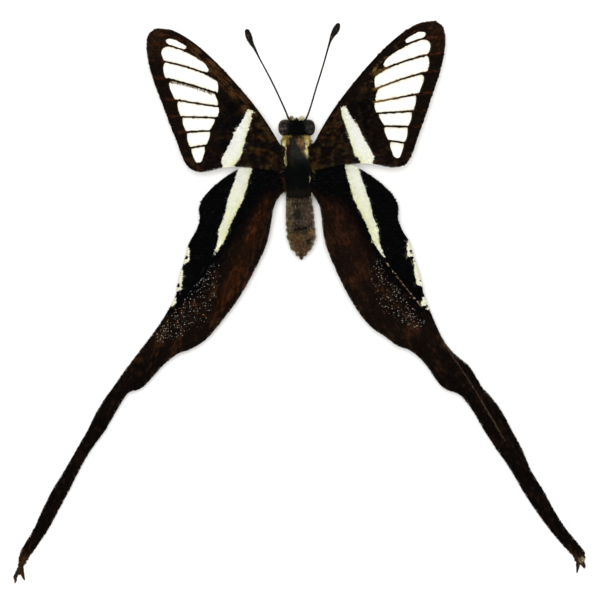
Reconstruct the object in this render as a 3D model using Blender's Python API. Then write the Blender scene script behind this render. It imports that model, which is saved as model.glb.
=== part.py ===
"""Green dragontail butterfly: a dried, spread specimen that stands on its six feet, wings level.

The animal faces -Y, its left side is +X and +Z is up. The floor is z = 0 and the origin is below
the middle of the whole outline, tails and antennae included. Wing points are (lateral, aft) pairs
in millimetres, measured outwards from the body's midline and backwards from the middle of the
thorax, so one wing shape serves both sides and each side only turns it a little.
"""

import math

import bmesh
import bpy
from mathutils import Vector
from mathutils.geometry import delaunay_2d_cdt, intersect_point_line

MM = 0.001
GAP = 0.3  # between neighbouring pieces
THORAX_AFT = -17.8  # the thorax lies ahead of the middle of the outline, which the tails lengthen

# How each side holds the shared wing shapes: turns in degrees, tip backwards, for the forewing and
# for the outer and the inner edge of the hindwing, then reach as a factor and shifts in and back
SIDES = {
    "left": {
        "sign": 1, "fore": 1.0, "outer": 0.6, "inner": -1.1, "reach": 0.995,
        "fore_shift": (0.2, 0.06), "hind_shift": (0.1, 0.0),
    },
    "right": {
        "sign": -1, "fore": -1.0, "outer": -0.6, "inner": 1.1, "reach": 1.005,
        "fore_shift": (-0.1, -0.1), "hind_shift": (-0.1, 0.0),
    },
}

# Wings
WING_THICKNESS = 0.5
VEIN_HALF_WIDTH = 0.32
VEIN_CLEAR = 0.26  # how near two veins' feet may come
VEIN_RISE = 0.18
EDGE_STEP = 0.9
VEIN_STEP = 1.5
GRID_STEP = 2.4

FORE_LEVEL = 6.55
FORE_DIHEDRAL = 0.035
FORE_CAMBER = 0.25
FORE_ROOT = 2.0
FORE_SPAN = 17.5
FORE_OUTLINE = [
    (0.9, -2.2), (2.1, -2.75), (2.6, -3.6), (3.35, -4.9), (4.7, -7.0), (6.6, -9.5), (10.2, -13.6),
    (13.4, -16.5), (16.0, -18.0), (17.7, -18.3), (19.0, -17.6), (19.4, -15.9), (18.8, -12.2),
    (17.6, -8.7), (15.8, -3.7),
    (14.5, -0.4), (13.7, 0.4), (12.4, 0.7), (9.8, 0.2), (7.4, 0.1), (4.0, 0.5), (0.9, 0.8),
]
FORE_VEINS = {
    "subcosta": [(1.3, -2.1), (2.7, -3.4), (4.7, -6.35), (6.6, -8.8), (9.0, -11.75), (11.2, -14.05),
                 (12.9, -15.7)],
    "radius": [(1.2, -1.85), (4.8, -5.6), (8.2, -9.6), (10.0, -11.9), (11.3, -13.6), (13.4, -15.55),
               (15.7, -17.05), (17.6, -17.35)],
    "radial_branch": [(11.3, -13.6), (12.9, -14.6), (14.1, -15.15), (15.3, -15.57), (16.5, -15.95),
                      (19.1, -16.2)],
    "cubitus": [(1.2, -1.6), (5.4, -4.4), (7.6, -6.2), (8.6, -7.6), (9.0, -9.2), (9.5, -11.1)],
    "median_1": [(9.5, -11.1), (11.2, -12.0), (14.2, -13.1), (17.3, -13.9), (19.2, -14.1)],
    "median_2": [(9.0, -9.2), (10.3, -9.6), (13.8, -10.8), (16.9, -11.6), (18.6, -11.8)],
    "median_3": [(8.6, -7.6), (12.8, -8.3), (15.7, -8.8), (17.5, -9.0)],
    "cubital_1": [(7.6, -6.2), (10.5, -6.4), (15.0, -6.6), (16.8, -6.7)],
    "cubital_2": [(5.4, -4.4), (8.2, -4.7), (11.3, -4.7), (14.4, -4.6), (16.1, -4.6)],
    "anal": [(1.2, -1.1), (4.0, -2.2), (7.0, -2.7), (11.8, -2.8), (13.9, -2.5), (15.3, -2.3)],
}

HIND_LEVEL = 5.3
HIND_SLOPE = -0.02
TAIL_DROOP = 3.6  # the tails sink towards the floor by this much at their tips
DROOP_FROM = 13.0
DROOP_TO = 54.0
FOLD_RISE = 0.3  # the inner part of the hindwing stands a little above the outer one
FOLD_WIDTH = 7.0
HIND_COSTA = [(0.9, -0.2), (3.4, -0.7), (6.0, -0.4), (8.0, 0.5)]
HIND_TERMEN = [
    (10.4, 2.1), (12.3, 4.0), (13.0, 5.5), (12.9, 7.0), (13.5, 8.6), (14.3, 9.9), (14.8, 11.8),
    (15.3, 13.3), (15.9, 15.5), (16.2, 17.0),
]
HIND_DORSUM = [
    (9.0, 19.9), (7.8, 18.3), (6.7, 16.5), (5.6, 14.4), (4.6, 12.3), (3.8, 10.3), (3.35, 8.2), (3.15, 6.5),
    (2.85, 5.2), (2.3, 4.2), (1.6, 3.5), (0.9, 3.2),
]
FOLD = [(2.4, 2.4), (6.5, 5.1), (8.8, 8.5), (11.1, 12.3), (13.8, 15.8), (16.0, 18.4)]
HIND_VEINS = {
    "costal": [(1.2, 0.6), (4.6, 0.7), (8.0, 1.6), (10.2, 2.2)],
    "radial": [(1.2, 1.0), (4.6, 2.0), (8.6, 3.8), (12.7, 5.4)],
    "median_1": [(4.6, 2.0), (7.4, 4.4), (10.4, 6.8), (13.2, 8.6)],
    "median_2": [(7.4, 4.4), (9.6, 7.6), (12.0, 10.2), (14.5, 11.8)],
    "median_3": [(9.6, 7.6), (11.6, 11.4), (14.0, 14.4), (15.7, 15.4)],
    "cubitus": FOLD,
    "cubital": [(3.0, 3.0), (5.0, 7.4), (7.2, 12.0), (10.2, 16.6), (13.6, 20.4), (17.8, 24.4)],
    "anal": [(2.2, 3.0), (3.9, 6.6), (4.9, 10.8), (6.6, 14.2), (9.0, 17.6)],
}

# Stations down each tail: how far aft, then the lateral of its outer and of its inner edge. The
# lobe ends just before the parting, where the tail becomes a node of its own.
TAIL_PARTING = 30.3
TAIL_STATIONS = {
    "left": [
        (21.4, 18.6, 10.8), (23.1, 19.9, 12.5), (24.0, 20.6, 14.1), (24.6, 21.0, 15.7), (26.1, 22.2, 17.6),
        (28.2, 23.7, 19.5), (29.1, 24.3, 20.5), (29.6, 24.7, 22.0), (31.9, 26.2, 23.6), (34.5, 27.5, 25.1),
        (37.1, 29.0, 27.0), (39.7, 30.5, 28.5), (42.3, 32.1, 29.8), (44.9, 33.4, 31.2), (47.5, 34.6, 32.6),
        (49.3, 35.7, 33.8), (50.6, 36.4, 34.7), (51.6, 36.5, 35.4), (52.3, 36.6, 35.8),
    ],
    "right": [
        (21.4, 18.2, 9.8), (22.4, 18.7, 11.3), (23.5, 19.4, 12.8), (24.1, 19.9, 14.4), (25.1, 21.0, 15.7),
        (26.1, 22.2, 16.6), (28.7, 23.8, 18.5), (29.3, 24.3, 19.4), (29.8, 24.8, 20.8), (31.9, 26.4, 22.6),
        (34.5, 27.8, 24.1), (37.1, 29.2, 25.8), (39.7, 30.3, 27.6), (42.3, 31.9, 29.1), (44.9, 33.3, 30.8),
        (47.5, 35.0, 32.7), (49.3, 36.5, 34.2), (50.6, 37.4, 35.4), (51.6, 37.3, 36.1),
    ],
}
# The worn end of each tail: the outer prong, the notch and the inner prong, as (aft, lateral)
TAIL_FORKS = {
    "left": [(53.5, 37.2), (54.5, 37.05), (54.4, 36.85), (53.1, 36.4), (54.1, 35.8), (54.1, 35.55)],
    "right": [(52.2, 37.5), (52.6, 37.35), (52.5, 37.1), (52.0, 36.75), (53.2, 36.4), (53.1, 36.15)],
}

# Body: stations of (aft, lateral of the midline, height of the midline, half width, half height)
HEAD_MIDDLE = 0.23
HEAD_STATIONS = [
    (-6.1, HEAD_MIDDLE, 5.2, 0.0, 0.0), (-5.75, HEAD_MIDDLE, 5.2, 1.1, 1.05),
    (-4.9, HEAD_MIDDLE, 5.2, 1.55, 1.45), (-3.95, HEAD_MIDDLE, 5.2, 1.45, 1.3),
    (-3.55, HEAD_MIDDLE, 5.2, 0.0, 0.0),
]
THORAX_STATIONS = [
    (-3.8, 0.28, 5.15, 0.0, 0.0), (-3.5, 0.28, 5.15, 1.98, 1.55), (-2.6, 0.27, 5.2, 2.03, 2.0),
    (-1.0, 0.23, 5.2, 2.03, 2.35), (0.6, 0.1, 5.2, 2.0, 2.4), (2.4, -0.02, 5.1, 1.85, 2.1),
    (3.8, -0.06, 5.0, 1.75, 1.7), (4.5, -0.08, 4.9, 0.0, 0.0),
]
ABDOMEN_STATIONS = [
    (3.6, -0.05, 4.85, 0.0, 0.0), (4.3, -0.08, 4.85, 1.8, 1.5), (7.0, -0.2, 4.7, 1.95, 1.7),
    (9.2, -0.36, 4.5, 1.97, 1.65), (10.4, -0.36, 4.4, 1.65, 1.35), (11.3, -0.37, 4.3, 0.95, 0.85),
    (11.8, -0.38, 4.27, 0.45, 0.42), (12.5, -0.38, 4.25, 0.0, 0.0),
]
ABDOMEN_JOINTS = [5.0, 6.0, 7.0, 7.9, 8.8, 9.7, 10.5]
JOINT_PINCH = 0.06
JOINT_WIDTH = 0.22
BODY_SQUARENESS = 2.2

EYE_CENTRE = (1.45, -4.85, 5.25)
EYE_RADII = (0.95, 1.08, 1.35)

# Feelers: (lateral, aft, height, radius) down each one's length. The palps and the tongue are
# measured from the middle of the head instead.
ANTENNAE = {
    "left": [
        (0.75, -5.15, 5.9, 0.27), (1.0, -5.55, 6.3, 0.26), (1.26, -5.95, 6.6, 0.26), (1.64, -6.9, 6.85, 0.25),
        (3.45, -10.8, 7.4, 0.25),
        (5.1, -13.9, 8.0, 0.25), (5.75, -15.2, 8.2, 0.3), (6.15, -15.9, 8.3, 0.37), (6.42, -16.6, 8.45, 0.44),
        (6.62, -17.2, 8.57, 0.4), (6.76, -17.62, 8.66, 0.24),
    ],
    "right": [
        (0.3, -5.15, 5.95, 0.27), (0.57, -5.55, 6.35, 0.26), (0.95, -5.95, 6.6, 0.26), (1.36, -6.9, 6.85, 0.25),
        (2.3, -10.0, 7.3, 0.25),
        (3.26, -13.1, 7.9, 0.25), (3.85, -15.2, 8.25, 0.26), (4.13, -16.1, 8.4, 0.29),
        (4.42, -16.8, 8.5, 0.37),
        (4.78, -17.4, 8.62, 0.45), (5.08, -18.0, 8.72, 0.41), (5.22, -18.4, 8.79, 0.25),
    ],
}
PALP = [(0.72, -5.0, 4.3, 0.36), (0.74, -5.6, 4.4, 0.4), (0.7, -6.0, 4.9, 0.38), (0.66, -6.18, 5.5, 0.26)]
PROBOSCIS_CENTRE = (-5.2, 2.2)
PROBOSCIS_OUTER = 1.0
PROBOSCIS_INNER = 0.3
PROBOSCIS_TURNS = 1.15
PROBOSCIS_START = 105
PROBOSCIS_RADIUS = 0.25

# Legs: (lateral, aft, height, radius) from the coxa, over the knee and the ankle, to the toe
LEGS = {
    "fore": [
        (0.7, -1.8, 3.6, 0.5), (1.1, -2.1, 2.6, 0.42), (2.6, -2.3, 3.4, 0.4), (4.0, -2.7, 4.1, 0.32),
        (4.9, -3.4, 2.2, 0.28), (5.5, -4.0, 0.6, 0.27), (5.9, -4.5, 0.12, 0.26), (6.7, -5.4, 0.12, 0.25),
    ],
    "mid": [
        (0.9, 0.2, 3.4, 0.55), (1.5, 0.3, 2.4, 0.45), (3.2, 0.6, 3.5, 0.42), (4.9, 0.8, 4.2, 0.34),
        (6.0, 1.3, 2.3, 0.3), (6.7, 1.6, 0.6, 0.28), (7.2, 1.8, 0.12, 0.26), (8.5, 2.2, 0.12, 0.25),
    ],
    "hind": [
        (0.8, 2.2, 3.6, 0.55), (1.2, 2.7, 2.6, 0.45), (2.9, 3.7, 3.3, 0.42), (4.4, 5.1, 3.9, 0.34),
        (5.3, 7.0, 2.2, 0.3), (5.8, 8.3, 0.6, 0.28), (6.0, 9.0, 0.12, 0.26), (6.6, 10.6, 0.12, 0.25),
    ],
}
LIMB_SIDES = 8
LIMB_STEP = 0.8

COLOURS = {
    "wing_scales": ((0.030, 0.016, 0.010), 0.75),
    "body_fur": ((0.060, 0.048, 0.038), 0.9),
    "abdomen_scales": ((0.120, 0.090, 0.065), 0.8),
    "eye": ((0.045, 0.022, 0.018), 0.3),
    "horn": ((0.020, 0.015, 0.012), 0.45),
}


def clear_scene():
    for obj in list(bpy.data.objects):
        bpy.data.objects.remove(obj)


def material(name):
    colour, roughness = COLOURS[name]
    made = bpy.data.materials.get(name)
    if made is None:
        made = bpy.data.materials.new(name)
        made.use_nodes = True
        shader = made.node_tree.nodes["Principled BSDF"]
        shader.inputs["Base Color"].default_value = (*colour, 1)
        shader.inputs["Roughness"].default_value = roughness
        shader.inputs["Metallic"].default_value = 0.0
    return made


def row(lateral, aft, up):
    """A point in metres in the part's frame. Lateral is signed here: plus is the animal's left."""
    return Vector((lateral, aft + THORAX_AFT, up)) * MM


def finished(name, bm, finish):
    """A named object from a bmesh, its faces outwards, shaded smooth but for its sharp edges."""
    bmesh.ops.recalc_face_normals(bm, faces=bm.faces)
    if bm.calc_volume(signed=True) < 0:
        bmesh.ops.reverse_faces(bm, faces=bm.faces)
    mesh = bpy.data.meshes.new(name)
    bm.to_mesh(mesh)
    bm.free()
    mesh.shade_smooth()
    mesh.set_sharp_from_angle(angle=math.radians(40))
    mesh.materials.append(material(finish))
    obj = bpy.data.objects.new(name, mesh)
    bpy.context.scene.collection.objects.link(obj)
    return obj


def as_cutter(obj):
    obj.hide_render = True
    obj.display_type = "WIRE"
    return obj


def trim(obj, *cutters):
    """Cuts an object back from each of its neighbours' grown shapes, so that they meet face to face."""
    for cutter in cutters:
        cut = obj.modifiers.new("clear_of_" + cutter.name, "BOOLEAN")
        cut.operation = "DIFFERENCE"
        cut.object = cutter
    return obj


def spline(points, step, closed=False):
    """Even points about one step apart on a smooth curve through the given ones (centripetal)."""
    count = len(points)
    fine = []
    for i in range(count if closed else count - 1):
        if closed:
            four = [points[(i + k) % count] for k in (-1, 0, 1, 2)]
        else:
            four = [points[min(max(i + k, 0), count - 1)] for k in (-1, 0, 1, 2)]
        p0, p1, p2, p3 = (Vector(p) for p in four)
        pieces = max(1, math.ceil((p2 - p1).length / step))
        knots = [0.0]
        for a, b in ((p0, p1), (p1, p2), (p2, p3)):
            knots.append(knots[-1] + max((b - a).length ** 0.5, 1e-4))
        for k in range(pieces):
            fine.append(barry_goldman((p0, p1, p2, p3), knots, k / pieces))
    if not closed:
        fine.append(Vector(points[-1]))
    return fine


def barry_goldman(four, knots, share):
    """The point at a share of the way from the second of four points to the third."""
    t = knots[1] + share * (knots[2] - knots[1])

    def mix(a, b, ta, tb):
        return a * ((tb - t) / (tb - ta)) + b * ((t - ta) / (tb - ta))

    a1 = mix(four[0], four[1], knots[0], knots[1])
    a2 = mix(four[1], four[2], knots[1], knots[2])
    a3 = mix(four[2], four[3], knots[2], knots[3])
    b1 = mix(a1, a2, knots[0], knots[2])
    b2 = mix(a2, a3, knots[1], knots[3])
    return mix(b1, b2, knots[1], knots[2])


def turned(points, degrees, reach, shift):
    """Wing points turned about the middle of the thorax, stretched and shifted outwards and aft."""
    c, s = math.cos(math.radians(degrees)), math.sin(math.radians(degrees))
    return [Vector(((x * c - y * s), (x * s + y * c))) * reach + Vector(shift) for x, y in points]


def distance_to(path, point, closed=False):
    """How far a flat point lies from a path."""
    ends = list(zip(path, path[1:] + path[:1] if closed else path[1:]))
    best = math.inf
    for a, b in ends:
        foot, share = intersect_point_line(point.to_3d(), a.to_3d(), b.to_3d())
        near = a if share < 0 else b if share > 1 else foot.to_2d()
        best = min(best, (near - point).length)
    return best


def side_of(path, point):
    """Signed distance from a path: plus on its right-hand side as the path runs."""
    best, sign = math.inf, 1
    for a, b in zip(path, path[1:]):
        foot, share = intersect_point_line(point.to_3d(), a.to_3d(), b.to_3d())
        near = a if share < 0 else b if share > 1 else foot.to_2d()
        if (near - point).length < best:
            best = (near - point).length
            along, away = b - a, point - a
            sign = 1 if along.x * away.y - along.y * away.x > 0 else -1
    return best * sign


def contains(outline, point):
    """Whether a flat point lies inside a closed outline."""
    inside = False
    for a, b in zip(outline, outline[1:] + outline[:1]):
        if (a.y > point.y) != (b.y > point.y):
            crossing = a.x + (point.y - a.y) / (b.y - a.y) * (b.x - a.x)
            inside ^= point.x < crossing
    return inside


def fill(outline, paths):
    """Flat points and triangles that fill an outline, with each vein's crest and feet along edges."""
    points = list(outline)
    edges = [(i, (i + 1) % len(outline)) for i in range(len(outline))]

    def within(point, room):
        return contains(outline, point) and distance_to(outline, point, closed=True) > room

    def place(point, reach):
        """The index of a point that is there already, or of a new one."""
        for i in range(len(outline), len(points)):
            if (points[i] - point).length < reach:
                return i
        points.append(point)
        return len(points) - 1

    for path in paths:
        others = [other for other in paths if other is not path]
        last = [None, None, None]
        for i, point in enumerate(path):
            along = path[min(i + 1, len(path) - 1)] - path[max(i - 1, 0)]
            across = Vector((along.y, -along.x)).normalized() * VEIN_HALF_WIDTH
            for line, spot in enumerate((point, point + across, point - across)):
                nearest = min((distance_to(other, spot) for other in others), default=math.inf)
                if (line and nearest < VEIN_CLEAR) or not within(spot, VEIN_HALF_WIDTH):
                    last[line] = None
                    continue
                here = place(spot, VEIN_CLEAR if line else VEIN_HALF_WIDTH)
                if last[line] is not None and last[line] != here:
                    edges.append((last[line], here))
                last[line] = here

    def clear(point, room):
        return all((point - other).length > room for other in points)

    low_x, high_x = min(p.x for p in outline), max(p.x for p in outline)
    low_y, high_y = min(p.y for p in outline), max(p.y for p in outline)
    for i in range(int((high_x - low_x) / GRID_STEP) + 1):
        for j in range(int((high_y - low_y) / GRID_STEP) + 1):
            point = Vector((low_x + i * GRID_STEP, low_y + (j + 0.5 * (i % 2)) * GRID_STEP))
            if within(point, GRID_STEP * 0.35) and clear(point, GRID_STEP * 0.5):
                points.append(point)
    flat, _, triangles, *_ = delaunay_2d_cdt(points, edges, [list(range(len(outline)))], 1, 1e-5)
    return flat, triangles


def wing(name, sign, outline, veins, level):
    """A membrane of even thickness on the surface that level gives, its veins raised on both faces."""
    paths = [spline(vein, VEIN_STEP) for vein in veins]
    flat, triangles = fill(outline, paths)

    def rise(point):
        nearest = min(distance_to(path, point) for path in paths)
        margin = distance_to(outline, point, closed=True)
        height = max(0.0, 1 - nearest / VEIN_HALF_WIDTH) * min(1.0, margin / VEIN_HALF_WIDTH)
        return VEIN_RISE * height

    bm = bmesh.new()
    tops = {}
    corners = []
    for point in flat:
        half, middle = WING_THICKNESS / 2 + rise(point), level(point)
        corner = bm.verts.new(row(sign * point.x, point.y, middle - half))
        corners.append(corner)
        tops[corner.co.x, corner.co.y] = (middle + half) * MM
    for triangle in triangles:
        bm.faces.new([corners[i] for i in triangle])
    raised = bmesh.ops.extrude_face_region(bm, geom=bm.faces[:])["geom"]
    for corner in raised:
        if isinstance(corner, bmesh.types.BMVert):
            corner.co.z = tops[corner.co.x, corner.co.y]
    return finished(name, bm, "wing_scales")


def fore_level(point):
    """Height of the forewing's middle surface, a little higher outwards and gently arched."""
    out = (point.x - FORE_ROOT) / FORE_SPAN
    arch = math.sin(math.pi * min(max(out, 0.0), 1.0))
    return FORE_LEVEL + FORE_DIHEDRAL * (point.x - FORE_ROOT) + FORE_CAMBER * arch


def hind_level(point):
    """Height of the hindwing's middle surface: a step at the fold, then the tail's long droop."""
    sunk = min(max((point.y - DROOP_FROM) / (DROOP_TO - DROOP_FROM), 0.0), 1.0) ** 1.6
    inner = side_of([Vector(p) for p in FOLD], point)
    rise = max(0.0, 1 - max(inner, 0.0) / FOLD_WIDTH) * min(max(inner + 0.4, 0.0) / 0.8, 1.0)
    rise *= min(max((20.0 - point.y) / 6.0, 0.0), 1.0) * min(max((point.x - 3.0) / 3.0, 0.0), 1.0)
    return HIND_LEVEL + HIND_SLOPE * (point.x - FORE_ROOT) - TAIL_DROOP * sunk + FOLD_RISE * rise


def hindwing_edges(side):
    """The hindwing and its tail as two edges from the root to the tip: the outer and the inner one."""
    pose = SIDES[side]
    hold = (pose["reach"], pose["hind_shift"])
    stations = TAIL_STATIONS[side]
    outer = turned(HIND_COSTA + HIND_TERMEN, pose["outer"], *hold)
    inner = turned(HIND_DORSUM[::-1], pose["inner"], *hold)
    outer += [Vector((out, aft)) for aft, out, _ in stations]
    inner += [Vector((inn, aft)) for aft, _, inn in stations]
    return spline(outer, EDGE_STEP), spline(inner, EDGE_STEP)


def cut_at(edge, aft, keep_tip):
    """The part of an edge ahead of a straight cut across it, or the part beyond it."""
    for i, (a, b) in enumerate(zip(edge, edge[1:])):
        if a.y <= aft < b.y and b.y > TAIL_PARTING - 2:
            share = (aft - a.y) / (b.y - a.y)
            corner = a.lerp(b, share)
            if keep_tip:
                rest = edge[i + 1:]
                return [corner] + [p for p in rest if (p - corner).length > EDGE_STEP * 0.3]
            kept = [p for p in edge[: i + 1] if (p - corner).length > EDGE_STEP * 0.3]
            return kept + [corner]
    return edge


def tail_vein(side):
    """Down the middle of the tail, from the fold."""
    return [((out + inn) / 2, aft) for aft, out, inn in TAIL_STATIONS[side] if aft > 26]


def build_forewing(side, thorax_room):
    pose = SIDES[side]
    hold = (pose["fore"], pose["reach"], pose["fore_shift"])
    outline = spline(turned(FORE_OUTLINE, *hold), EDGE_STEP, closed=True)
    veins = [turned(vein, *hold) for vein in FORE_VEINS.values()]
    made = wing("forewing_" + side, pose["sign"], outline, veins, fore_level)
    return trim(made, thorax_room)


def build_hindwing(side, thorax_room, abdomen_room):
    """The hindwing as far as the parting, and the tail beyond it."""
    pose = SIDES[side]
    hold = (pose["outer"], pose["reach"], pose["hind_shift"])
    outer, inner = hindwing_edges(side)
    veins = [turned(vein, *hold) for vein in HIND_VEINS.values()]
    blade_end, tail_start = TAIL_PARTING - GAP / 2, TAIL_PARTING + GAP / 2
    blade = cut_at(outer, blade_end, False) + cut_at(inner, blade_end, False)[::-1]
    made = wing("hindwing_" + side, pose["sign"], blade, veins, hind_level)
    trim(made, thorax_room, abdomen_room)
    fork = [Vector((lateral, aft)) for aft, lateral in TAIL_FORKS[side]]
    tail = cut_at(outer, tail_start, True) + fork + cut_at(inner, tail_start, True)[::-1]
    return made, wing("tail_" + side, pose["sign"], tail, [tail_vein(side)], hind_level)


def profile(stations, aft):
    """Lateral, height and the two half sizes at one place down a body, which has round ends."""
    for low, high in zip(stations, stations[1:]):
        if aft <= high[0]:
            break
    share = min(max((aft - low[0]) / (high[0] - low[0]), 0.0), 1.0)
    first, last = low is stations[0], high is stations[-1]
    soft = share if first or last else share * share * (3 - 2 * share)
    lateral, up = (low[k] + (high[k] - low[k]) * soft for k in (1, 2))
    half = [math.sqrt(low[k] ** 2 + (high[k] ** 2 - low[k] ** 2) * soft) for k in (3, 4)]
    return lateral, up, half[0], half[1]


def body(name, stations, finish, rings, segments, grow=0.0, joints=()):
    """A rounded body through its stations, made from a sphere whose poles become its two ends."""
    bm = bmesh.new()
    bmesh.ops.create_uvsphere(bm, u_segments=segments, v_segments=rings, radius=1)
    front, rear = stations[0][0] - grow, stations[-1][0] + grow
    for v in bm.verts:
        along = (1 - v.co.z) / 2
        aft = front + along * (rear - front)
        inside = stations[0][0] + along * (stations[-1][0] - stations[0][0])
        lateral, up, wide, high = profile(stations, inside)
        pinch = sum(math.exp(-(((inside - joint) / JOINT_WIDTH) ** 2)) for joint in joints)
        around = math.atan2(v.co.y, v.co.x)
        c, s = math.cos(around), math.sin(around)
        square = (abs(c) ** BODY_SQUARENESS + abs(s) ** BODY_SQUARENESS) ** (-1 / BODY_SQUARENESS)
        room = grow * min(1.0, 2.5 * math.sqrt(max(0.0, along * (1 - along)))) if wide > 0 else 0.0
        shrink = 1 - JOINT_PINCH * min(pinch, 1.0)
        v.co = row(
            lateral + c * square * (wide * shrink + room),
            aft,
            up + s * square * (high * shrink + room),
        )
    return finished(name, bm, finish)


def build_eye(side, head_room):
    sign = SIDES[side]["sign"]
    bm = bmesh.new()
    bmesh.ops.create_uvsphere(bm, u_segments=16, v_segments=10, radius=1)
    for v in bm.verts:
        x, y, z = (c + r * k for c, r, k in zip(EYE_CENTRE, EYE_RADII, v.co))
        v.co = row(HEAD_MIDDLE + sign * x, y, z)
    return trim(finished("eye_" + side, bm, "eye"), head_room)


def limb(name, stations, sign, finish, middle=0.0, floor=None):
    """A tapering tube through its stations, closed at both ends. A floor flattens what reaches it."""
    path = spline([Vector((middle + sign * x, y, z, r)) for x, y, z, r in stations], LIMB_STEP)
    curve = bpy.data.curves.new(name, "CURVE")
    curve.dimensions = "3D"
    curve.bevel_depth = MM
    curve.bevel_resolution = LIMB_SIDES // 2 - 2
    curve.use_fill_caps = True
    line = curve.splines.new("POLY")
    line.points.add(len(path) - 1)
    for point, (x, y, z, r) in zip(line.points, path):
        point.co = (*row(x, y, z), 1)
        point.radius = r
    source = bpy.data.objects.new(name + "_path", curve)
    bpy.context.scene.collection.objects.link(source)
    bpy.context.view_layer.update()
    bm = bmesh.new()
    bm.from_mesh(source.evaluated_get(bpy.context.evaluated_depsgraph_get()).to_mesh())
    bpy.data.objects.remove(source)
    bmesh.ops.remove_doubles(bm, verts=bm.verts, dist=1e-7)
    if floor is not None:
        for v in bm.verts:
            v.co.z = max(v.co.z, floor)
    return finished(name, bm, finish)


def build_proboscis(head_room):
    """The tongue, rolled up under the head."""
    aft, up = PROBOSCIS_CENTRE
    steps = 20
    stations = []
    for i in range(steps + 1):
        share = i / steps
        angle = math.radians(PROBOSCIS_START) - 2 * math.pi * PROBOSCIS_TURNS * share
        radius = PROBOSCIS_OUTER + (PROBOSCIS_INNER - PROBOSCIS_OUTER) * share
        thick = PROBOSCIS_RADIUS * (1 - 0.15 * share)
        stations.append((0.0, aft - radius * math.cos(angle), up + radius * math.sin(angle), thick))
    stations.insert(0, (0.0, aft + 0.6, up + PROBOSCIS_OUTER + 0.8, PROBOSCIS_RADIUS))
    return trim(limb("proboscis", stations, 1, "horn", middle=HEAD_MIDDLE), head_room)


def build_body():
    """Head, thorax and abdomen, and the room that their neighbours are cut back from."""
    room = {}
    body("head", HEAD_STATIONS, "body_fur", 14, 22)
    room["head"] = as_cutter(body("head_room", HEAD_STATIONS, "body_fur", 14, 22, grow=GAP))
    thorax = body("thorax", THORAX_STATIONS, "body_fur", 18, 24)
    room["thorax"] = as_cutter(body("thorax_room", THORAX_STATIONS, "body_fur", 18, 24, grow=GAP))
    abdomen = body("abdomen", ABDOMEN_STATIONS, "abdomen_scales", 40, 22, joints=ABDOMEN_JOINTS)
    room["abdomen"] = as_cutter(body("abdomen_room", ABDOMEN_STATIONS, "body_fur", 20, 22, grow=GAP))
    trim(thorax, room["head"])
    trim(abdomen, room["thorax"])
    return room


def main():
    clear_scene()
    room = build_body()
    build_proboscis(room["head"])
    for side, pose in SIDES.items():
        sign = pose["sign"]
        eye = build_eye(side, room["head"])
        trim(eye, room["thorax"])
        trim(limb("antenna_" + side, ANTENNAE[side], sign, "horn"), room["head"])
        trim(limb("palp_" + side, PALP, sign, "body_fur", middle=HEAD_MIDDLE), room["head"])
        build_forewing(side, room["thorax"])
        build_hindwing(side, room["thorax"], room["abdomen"])
        for place, stations in LEGS.items():
            leg = limb(f"leg_{place}_{side}", stations, sign, "horn", floor=0.0)
            trim(leg, room["thorax"])


main()
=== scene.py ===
"""Green dragontail butterfly, dried and spread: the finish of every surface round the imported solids.

The file is laid out as a Blender add-on. Wing points are (lateral, aft) pairs in millimetres, measured
outwards from the body's midline and backwards from the middle of the thorax. Heights are above the floor.
"""

import math

import bmesh
import bpy
import numpy as np
from bpy.props import FloatProperty, FloatVectorProperty, IntProperty, PointerProperty
from mathutils import Matrix, Vector, noise
from mathutils.geometry import delaunay_2d_cdt


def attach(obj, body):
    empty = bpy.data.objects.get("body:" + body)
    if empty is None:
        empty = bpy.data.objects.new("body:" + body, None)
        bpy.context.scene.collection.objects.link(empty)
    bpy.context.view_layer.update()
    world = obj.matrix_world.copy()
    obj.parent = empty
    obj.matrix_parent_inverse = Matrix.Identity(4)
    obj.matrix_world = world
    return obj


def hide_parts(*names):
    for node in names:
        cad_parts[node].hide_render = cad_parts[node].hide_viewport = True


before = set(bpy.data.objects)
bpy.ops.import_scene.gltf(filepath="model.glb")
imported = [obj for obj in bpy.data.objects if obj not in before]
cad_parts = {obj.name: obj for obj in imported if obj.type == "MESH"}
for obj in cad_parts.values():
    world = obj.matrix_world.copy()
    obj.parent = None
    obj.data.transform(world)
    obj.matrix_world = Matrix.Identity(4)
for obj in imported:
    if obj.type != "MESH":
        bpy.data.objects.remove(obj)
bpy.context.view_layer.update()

bl_info = {
    "name": "Green dragontail specimen",
    "version": (1, 0, 0),
    "blender": (4, 5, 0),
    "location": "3D View > Sidebar > Dragontail",
    "description": "Scaled wings, haired body, feelers and legs of a spread green dragontail butterfly",
    "category": "Add Mesh",
}

MM = 0.001
THORAX_AFT = -17.8

# How each side holds the shared wing shapes: turns in degrees, reach as a factor, shifts out and aft
SIDES = {
    "left": {
        "sign": 1, "fore": 1.0, "outer": 0.6, "inner": -1.1, "reach": 0.995,
        "fore_shift": (0.2, 0.06), "hind_shift": (0.1, 0.0), "seed": 11,
    },
    "right": {
        "sign": -1, "fore": -1.0, "outer": -0.6, "inner": 1.1, "reach": 1.005,
        "fore_shift": (-0.1, -0.1), "hind_shift": (-0.1, 0.0), "seed": 29,
    },
}

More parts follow.
